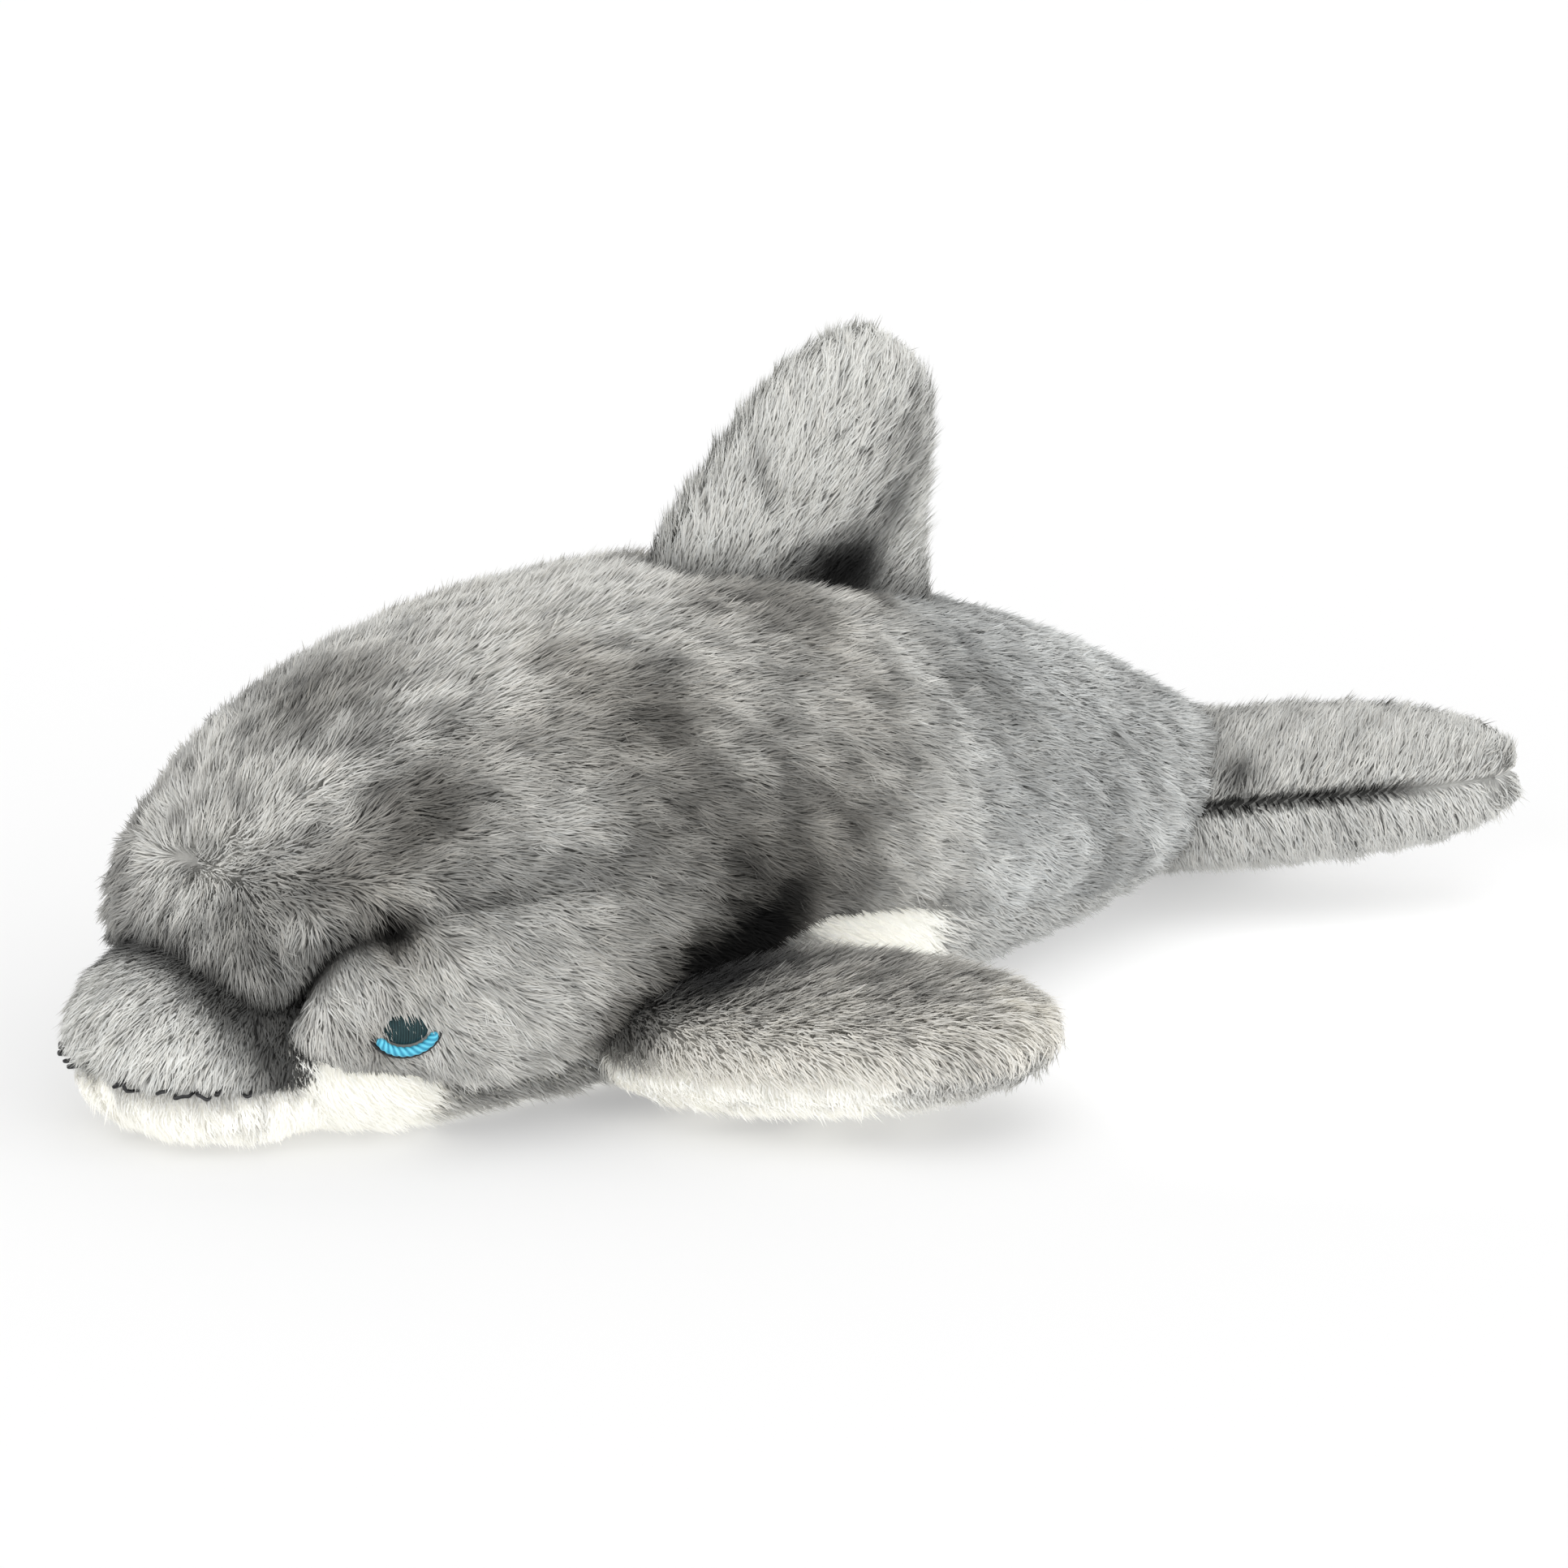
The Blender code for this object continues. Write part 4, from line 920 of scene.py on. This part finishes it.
for label, panel in panels.items():
    skin, normal, onBelly = panel["skin"], panel["normal"], label == "belly"
    rear = fade(skin[..., 0], *combing["rear"])
    if onBelly:
        tone, warmth = bellyTone(panel, skin[..., 0]), coat["warmth"] - coat["bellyCooler"] * rear
    else:
        tone, warmth = bodyTone(label, skin), coat["warmth"] - coat["rearCooler"] * rear
        # the pile is warmer where the spots darken it, their painted shade included
        warmth = warmth + coat["darkWarmer"] * np.clip(-patched(skin, shades), 0, .3)
        # painted shade in the seams' valleys, less towards the tail
        groove = seamDepth(panel, *trimming["groove"]) * (1 - .8 * fade(skin[..., 0], *coat["seamFades"]))
        tone = tone * (1 - coat["seamShade"] * groove)
    keep = 1 - trimming["coreBare"] * seamDepth(panel, *trimming["core"])
    if onBelly:
        # the pile is worn thin where it lies
        lying = fade(panel["station"], *trimming["lyingFrom"])
        lying = lying * (1 - fade(panel["station"], *trimming["lyingTo"]))
        keep = keep * (1 - trimming["lyingWorn"] * lying)
    length = combing["length"] - combing["rearShorter"] * rear
    length = length * (1 - trimming["seamShorter"] * seamDepth(panel, *trimming["seam"]))
    if label.startswith("cheek"):
        # clipped short over the jaw's white
        overJaw = bell(seamDistance(1, panel["station"], panel["angle"]), trimming["jawReach"])
        overJaw = overJaw * (1 - fade(panel["station"], *trimming["jawTo"]))
        length = length * (1 - trimming["jawShorter"] * overJaw)
    for kind, skins in jointLooks:
        outside = signedDistance(skin, skins, trimming["deepest"])
        look = pillowLooks[kind]
        keep = keep * (outside > trimming["jointInside"])
        near = bell(outside, look["bodyReach"] * (1 if label.startswith("back") else trimming["narrower"]))
        # painted shade on the body's pile next to each pillow's joint
        paintedShade = look["joint"]
        if onBelly and kind != "flipper":
            paintedShade = 0
        if label.startswith("cheek") and kind == "beak":
            paintedShade = trimming["cheekJointShade"] * paintedShade
        tone = tone * (1 - paintedShade * near)
        length = length * (1 - trimming["jointShorter"] * near)
    bare, shorter = trimmedByEye(label, panel)
    density = grooming["density"] * (grooming["bellyDensity"] if onBelly else 1)
    lean = np.radians(combing["lean"] + combing["rearLean"] * rear)
    plush(label + "Plush", nodeName(label), skin, normal,
          combed(normal, bodyPull(label, panel)), tone, warmth, length * shorter, lean, keep * bare,
          100 + 10 * len(bpy.data.objects), density)

# Pillows' own colours: slot, lightness at the top and near the rim, warmth, and the pull on the left
# side's pile, which the right side mirrors
pillowTones = {
    "beakUpper": ("pale_grey_plush", .93, .93, .40, (-.45, 0, -.9)),
    "beakLower": ("white_plush", .99, .99, .52, (.2, 0, -1)),
    "fin": ("pale_grey_plush", .895, .885, .42, (.35, 0, 1)),
    "flukeUpper": ("pale_grey_plush", .78, .81, .45, (.45, 0, 1)),
    "flukeLower": ("pale_grey_plush", .88, .85, .42, (.45, 0, -1)),
    "flipperUpper": ("grey_plush", .71, .93, .72, (.5, -.5, -.8)),
    "flipperLower": ("white_plush", .975, .975, .52, (.2, -.2, -1)),
}
# how that lightness is spread, the painted shade at rims and joints, and where the pillows' pile is short or
# left out
pillowPile = {
    "inside": -.002, "edgeReach": .006, "flipperEdge": .010, "edgeLess": .5, "edgeTo": (.60, .30),
    "blotch": (.011, 31), "flipperMottle": .09, "mottle": .025, "fine": (.004, 32), "fineMottle": .02,
    "flukeTips": (.97, -.14), "flukeRim": .0005, "rim": .002, "whiteJointShade": .12,
    "tipDarker": .11, "tipFrom": (.6, .3), "jointShorter": .30, "rimReach": .0024,
}


def pillowTone(label, half, near, slotName, top, edge):
    # lightness at the top and near the rim, the mottling, the soft spots, mostly painted shade, then painted
    # shade in the rim's seam and at the joint
    look, flippers, white = pillowLooks[half["kind"]], half["kind"] == "flipper", slotName == "white_plush"
    edgeShare = bell(half["rim"], pillowPile["flipperEdge" if flippers else "edgeReach"])
    if flippers:
        edgeShare = edgeShare * (1 - pillowPile["edgeLess"] * fade(half["v"], *pillowPile["edgeTo"]))
    tone = top + (edge - top) * edgeShare
    mottle = pillowPile["flipperMottle" if flippers and label.endswith("Upper") else "mottle"]
    blotch = cloudy(half["skin"], *pillowPile["blotch"])[0]
    fine = cloudy(half["skin"], *pillowPile["fine"])[0]
    tone = tone * (1 + mottle * blotch * (1 - edgeShare) + pillowPile["fineMottle"] * fine)
    if not white:
        tone = np.minimum(tone + patched(half["skin"], pillowShades), max(top, edge))
    # painted shade in the seam between the halves, on the fluke only along its leading edge short of the tips
    rimShare = bell(half["rim"], pillowPile["rim"])
    if half["kind"] == "fluke":
        leading = half["fromRims"][0 if label == "flukeUpper" else 1]
        rimShare = fade(np.abs(half["v"]), *pillowPile["flukeTips"]) * bell(leading, pillowPile["flukeRim"])
    tone = tone * (1 - look["rimDark"] * rimShare)
    # painted shade where the pillow is sewn to the body, less or none on white pile
    joint = look["joint"]
    if white:
        joint = pillowPile["whiteJointShade"] if flippers else 0
    tone = np.maximum(tone * (1 - joint * near), look["darkest"])
    if white and flippers:
        tone = tone - pillowPile["tipDarker"] * fade(half["v"], *pillowPile["tipFrom"])
    return tone


for label, half in halves.items():
    slotName, top, edge, warm, pull = pillowTones[label.replace("Left", "").replace("Right", "")]
    look = pillowLooks[half["kind"]]
    skin, normal = half["skin"], half["normal"]
    outside = signedDistance(skin, bodySkins)
    keep = (outside > pillowPile["inside"]).astype(float)
    near = bell(np.clip(outside, 0, 1), look["jointReach"])
    length = look["length"] * (1 - pillowPile["jointShorter"] * near)
    length = length * (1 - look["rimShort"] * bell(half["rim"], pillowPile["rimReach"]))
    flow = combed(normal, np.array(pull) * (mirror if "Right" in label else 1))
    plush(label + "Plush", nodeName(label), skin, normal, flow,
          pillowTone(label, half, near, slotName, top, edge), np.full(keep.shape, warm), length,
          np.full(keep.shape, math.radians(look["lean"])), keep, 100 + 10 * len(bpy.data.objects),
          grooming["density"])
print("plush triangles", triangleCount[0])


# Stuffing under the panels, drawn in deeper than they are along every seam
def fibreMaterial():
    made, wire, shader = newMaterial("fibreFill", 1.0)
    lumps = wire.node("ShaderNodeTexNoise", inputs={"Vector": wire.node("ShaderNodeTexCoord", output=3),
                                                    "Scale": 180.0, "Detail": 6.0})
    colour = wire.node("ShaderNodeValToRGB", {"stops": [(.3, (.62, .62, .60)), (.7, (.90, .90, .88))]},
                       {0: lumps})
    wire.tree.links.new(colour.socket, shader.inputs["Base Color"])
    return made


fibre = fibreMaterial()
stuffingDepth = .0030


def stuffing(name, node, rings):
    # rings of points, closed round and drawn together at both ends
    ends = [np.repeat(rings[k].mean(0)[None, None], rings.shape[1], 1) for k in (0, -1)]
    rings = np.concatenate([ends[0], rings, ends[1]])
    made = makeMesh(name, rings.reshape(-1, 3) + toyShift, gridCorners(*rings.shape[:2]), fibre, weld=True)
    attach(made, "root")
    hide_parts(node)


rings = bodySkin(np.linspace(.15, 12.85, 90)[:, None], np.linspace(0, 2 * np.pi, 97)[None, :], stuffingDepth)
rings[..., 2] = np.maximum(rings[..., 2], body["overFloor"] + stuffingDepth)
stuffing("bodyStuffing", "body_filling", rings)
pillowFillings = {
    "beak": (beakSection, 0.0, None), "fin": (finSection, finFoot, None),
    "fluke": (flukeSection, -1.0, rolled),
    "flipperLeft": (flipperSection(-1), 0.0, None), "flipperRight": (flipperSection(1), 0.0, None),
}
for label, (section, vFrom, turn) in pillowFillings.items():
    v = vFrom + (1 - vFrom) * (1 - np.cos(np.linspace(.04, np.pi - .04, 40)))[:, None] / 2
    rings = pillowPoints(section, v, np.linspace(0, 2 * np.pi, 49)[None, :], .0040 + stuffingDepth)
    rings = turn(rings) if turn is not None else rings
    rings[..., 2] = np.maximum(rings[..., 2], body["overFloor"] + stuffingDepth)
    stuffing(label + "Stuffing", nodeName(label + "Filling"), rings)
print("stuffed")


# Embroidery: twisted thread along a path, and the eyes' satin stitch
def threadMaterial(name, dark, light, turns, roughness, strands=3):
    # strands wind round the tube, so that u times their number plus v times the turns picks the shade; each
    # strand is lighter along its crest, a painted highlight, and darker between strands, painted shade
    made, wire, shader = newMaterial(name, roughness, Specular_IOR_Level=.45)
    uv = wire.node("ShaderNodeUVMap", {"uv_map": "OFBake"})
    u = wire.node("ShaderNodeSeparateXYZ", inputs={0: uv})
    v = Wire(wire.tree, u.socket.node.outputs[1])
    wave = wire.maths("SINE", (u * strands + v * turns) * (2 * math.pi)) * .5 + .5
    colour = wire.node("ShaderNodeMix", {"data_type": "RGBA"}, {0: wave, 6: (*dark, 1), 7: (*light, 1)}, 2)
    wire.tree.links.new(colour.socket, shader.inputs["Base Color"])
    bump = wire.node("ShaderNodeBump", inputs={"Height": wave, "Strength": .35, "Distance": .0002})
    wire.tree.links.new(bump.socket, shader.inputs["Normal"])
    return made


def thread(name, node, path, outward, radius, material, lobes=3, turns=0.0, lobeDepth=.2, sides=18):
    # round section with lobes that wind round it, rounded off at both ends
    along = unit(np.gradient(path, axis=0))
    first = unit(outward - along * (outward * along).sum(-1, keepdims=True))
    second = np.cross(along, first)
    t, phi = np.linspace(0, 1, len(path))[:, None], np.linspace(0, 2 * np.pi, sides + 1)[None, :]
    gone = np.concatenate([[0], np.cumsum(np.linalg.norm(np.diff(path, axis=0), axis=-1))])
    toEnd = np.minimum(gone, gone[-1] - gone)[:, None]
    capped = np.sqrt(1 - (1 - np.clip(toEnd / (1.2 * radius), 0, 1)) ** 2)
    lobe = np.abs(np.cos(lobes / 2 * (phi - 2 * np.pi * turns * t)))
    wide = radius * capped * (1 - lobeDepth + lobeDepth * lobe)
    rings = path[:, None] + first[:, None] * (wide * np.cos(phi))[..., None] + second[:, None] * (
        wide * np.sin(phi))[..., None]
    faces = gridCorners(len(path), sides + 1)
    uv = np.stack(np.broadcast_arrays(phi / (2 * np.pi), t), -1).reshape(-1, 2)[faces.ravel()]
    made = makeMesh(name, rings.reshape(-1, 3) + toyShift, faces, material, uv, weld=True)
    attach(made, "root")
    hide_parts(node)


def satin(name, node, side):
    # a dome of upright stitches: height root(1 - r squared), with a ridge for each thread
    r, phi = np.linspace(0, 1, 26)[:, None], np.linspace(0, 2 * np.pi, 97)[None, :]
    a, b = r * np.cos(phi), r * np.sin(phi)
    ridge = np.abs(np.sin(np.pi * a * eye["halfLength"] / eye["threadPitch"]))
    height = eye["dome"] * np.sqrt(np.clip(1 - r**2, 0, 1)) + eye["threadRise"] * ridge * (1 - r**6)
    dome = onCheek(side, a * eye["halfLength"], b * eye["halfHeight"], height)
    flatBack = onCheek(side, a[::-1] * eye["halfLength"], b[::-1] * eye["halfHeight"],
                       0 * height - eye["backDepth"])
    rings = np.concatenate([dome, flatBack])
    faces = gridCorners(*rings.shape[:2])
    flatMap = np.stack([.5 + .5 * a, .5 + .5 * b], -1)
    uv = np.concatenate([flatMap, flatMap[::-1]])
    uv = uv.reshape(-1, 2)[faces.ravel()]
    made = makeMesh(name, rings.reshape(-1, 3) + toyShift, faces, pupilThread, uv, weld=True)
    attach(made, "root")
    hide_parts(node)


def pupilMaterial():
    made, wire, shader = newMaterial("pupilThread", .55, Specular_IOR_Level=.22)
    uv = wire.node("ShaderNodeUVMap", {"uv_map": "OFBake"})
    u = wire.node("ShaderNodeSeparateXYZ", inputs={0: uv})
    place = wire.node("ShaderNodeVectorMath", {"operation": "MULTIPLY"}, {0: uv, 1: (42.0, 3.0, 1.0)})
    noise = wire.node("ShaderNodeTexNoise", inputs={"Vector": place, "Scale": 1.0, "Detail": 3.0})
    count = 2 * eye["halfLength"] / eye["threadPitch"]
    stripe = wire.maths("ABSOLUTE", wire.maths("SINE", u * (count * math.pi)))
    shade = noise * .6 + stripe * .4
    stops = [(.25, (.002, .008, .010)), (.85, (.028, .068, .074))]
    colour = wire.node("ShaderNodeValToRGB", {"stops": stops}, {0: shade})
    wire.tree.links.new(colour.socket, shader.inputs["Base Color"])
    return made


pupilThread = pupilMaterial()
blueThread = threadMaterial("blueThread", (.020, .255, .420), (.135, .640, .840), -eye["ringTurns"] * 3, .45)
darkThread = threadMaterial("darkThread", (.004, .004, .005), (.030, .030, .032), 12, .55, 2)
for side, label in ((-1, "left"), (1, "right")):
    pieceEnd = label.capitalize()
    satin("eye" + pieceEnd, "eye_" + label, side)
    sweep = np.linspace(eye["ringFrom"], eye["ringTo"], 60)
    for kind, away, radius, material, slotName in (
            ("ring", eye["ringDistance"], eye["ringRadius"], blueThread, "blue_thread"),
            ("outline", eye["outlineDistance"], eye["outlineRadius"], darkThread, "dark_thread")):
        a, b = (eye["halfLength"] + away) * np.cos(sweep), (eye["halfHeight"] + away) * np.sin(sweep)
        path = onCheek(side, a, b, eye[kind + "Lift"] + 0 * a)
        thread("eye" + kind.capitalize() + pieceEnd, "eye_" + kind + "_" + label, path,
               np.broadcast_to(eyeOut * np.array([1, -side, 1]), path.shape), radius, material,
               turns=eye["ringTurns"])

# Mouth: one thread round the beak's rim that shows only where a stitch comes up, on both sides alike
mouth = {
    "radius": .00034, "reach": .86, "steps": 420, "low": .0018, "high": -.0022, "wobble": .00035,
    "stitches": [(.17, .20), (.225, .26), (.40, .45), (.48, .56), (.58, .64), (.66, .68), (.78, .81)],
}
turn = np.linspace(-mouth["reach"], mouth["reach"], mouth["steps"] + 1) * np.pi / 2
part = np.abs(turn) / (mouth["reach"] * np.pi / 2)
shown = np.zeros_like(part)
for begin, end in mouth["stitches"]:
    shown = np.maximum(shown, smoothStep((part - begin) / .02 + .5) * smoothStep((end - part) / .02 + .5))
wobble = cloudy(np.stack([turn * 30, 0 * part, 0 * part], -1), 3.0, 51)[0] * mouth["wobble"]
centre, chord = beakSection(np.cos(turn) ** (2 / beak["power"]), 0.0)[:2]
rimPath = centre + chord * np.sign(turn)[:, None]
outward = unit(np.cross(np.gradient(rimPath, axis=0), up))
outward = outward * np.sign((outward[:, :2] * (rimPath - rimPath.mean(0))[:, :2]).sum(1).mean())
mouthPath = rimPath - outward * (mouth["low"] + (mouth["high"] - mouth["low"]) * shown)[:, None]
mouthPath[:, 2] += wobble
thread("mouthStitches", "mouth_thread", mouthPath, np.broadcast_to(up, mouthPath.shape),
       mouth["radius"], darkThread, lobes=2, turns=40.0, lobeDepth=.15, sides=8)
print("embroidered")

# Floor, lamps, world and camera
stageLook = {"floorSize": 6.0, "worldStrength": .84, "floorGlow": .35, "softPlace": (.085, -.070, 0),
             "softReach": .125, "softer": .95}
floorMaterial, floorWire, floorShader = newMaterial("paleFloor", .9, Specular_IOR_Level=0.0)
floorPlace = floorWire.node("ShaderNodeTexCoord", output=3)
speck = floorWire.node("ShaderNodeTexNoise", inputs={"Vector": floorPlace, "Scale": 2.0})
floorStops = [(0, (.555, .555, .555)), (1, (.565, .565, .565))]
floorColour = floorWire.node("ShaderNodeValToRGB", {"stops": floorStops}, {0: speck})
floorWire.tree.links.new(floorColour.socket, floorShader.inputs["Base Color"])
# the shadow under the tail is softened in the picture only, so that the floor lights the toy as before
fromTail = floorWire.node("ShaderNodeVectorMath", {"operation": "DISTANCE"},
                          {0: floorPlace, 1: stageLook["softPlace"]}, 1)
nearTail = floorWire.node("ShaderNodeMapRange", {"interpolation_type": "SMOOTHSTEP"},
                          {"Value": fromTail, "From Min": stageLook["softReach"], "From Max": 0.0})
inPicture = floorWire.node("ShaderNodeLightPath")
floorGlow = 1.0 + nearTail * inPicture * stageLook["softer"]
floorWire.tree.links.new(floorGlow.socket, floorShader.inputs["Emission Color"])
# lit from below like a light table
floorShader.inputs["Emission Strength"].default_value = stageLook["floorGlow"]
halfFloor = stageLook["floorSize"] / 2
floorPoints = np.array([(-halfFloor, -halfFloor, 0), (halfFloor, -halfFloor, 0), (halfFloor, halfFloor, 0),
                        (-halfFloor, halfFloor, 0)])
floor = makeMesh("floor", floorPoints, np.array([[0, 1, 2, 3]]), floorMaterial)

world = bpy.data.worlds.new("studio")
bpy.context.scene.world = world
world.use_nodes = True
worldWire = Wire(world.node_tree)
seen = worldWire.node("ShaderNodeLightPath")
glossy = Wire(world.node_tree, seen.socket.node.outputs["Is Glossy Ray"])
through = Wire(world.node_tree, seen.socket.node.outputs["Is Transmission Ray"])
shown = worldWire.maths("MINIMUM", seen + glossy + through, 1.0)
strength = stageLook["worldStrength"] + (1 - stageLook["worldStrength"]) * shown
background = world.node_tree.nodes["Background"]
background.inputs["Color"].default_value = (1, 1, 1, 1)
world.node_tree.links.new(strength.socket, background.inputs["Strength"])

# place, strength and spread in degrees
lamps = {"softTop": ((-.25, -.35, 1.3), .50, 60), "softFront": ((-.70, -1.0, .45), 1.02, 80),
         "softSide": ((.90, -1.0, .35), .78, 70)}
for name, (place, energy, spread) in lamps.items():
    lampData = bpy.data.lights.new(name, "SUN")
    lampData.energy, lampData.angle = energy, math.radians(spread)
    lamp = bpy.data.objects.new(name, lampData)
    lamp.location = place
    lamp.rotation_euler = (Vector((0, 0, .04)) - lamp.location).to_track_quat("-Z", "Y").to_euler()
    bpy.context.scene.collection.objects.link(lamp)

view = {"azimuth": math.radians(-38), "elevation": math.radians(15), "distance": 1.3,
        "aim": Vector((0, 0, .050)), "lens": 36 * 9009 / 1932, "shift": (.0041, -.0367)}
back = Vector((math.sin(view["azimuth"]) * math.cos(view["elevation"]),
               -math.cos(view["azimuth"]) * math.cos(view["elevation"]), math.sin(view["elevation"])))
cameraData = bpy.data.cameras.new("camera")
cameraData.sensor_width, cameraData.lens = 36, view["lens"]
cameraData.shift_x, cameraData.shift_y = view["shift"]
camera = bpy.data.objects.new("camera", cameraData)
camera.location = view["aim"] + back * view["distance"]
camera.rotation_euler = (-back).to_track_quat("-Z", "Y").to_euler()
bpy.context.scene.collection.objects.link(camera)
bpy.context.scene.camera = camera
bpy.context.scene.view_settings.view_transform = "Standard"
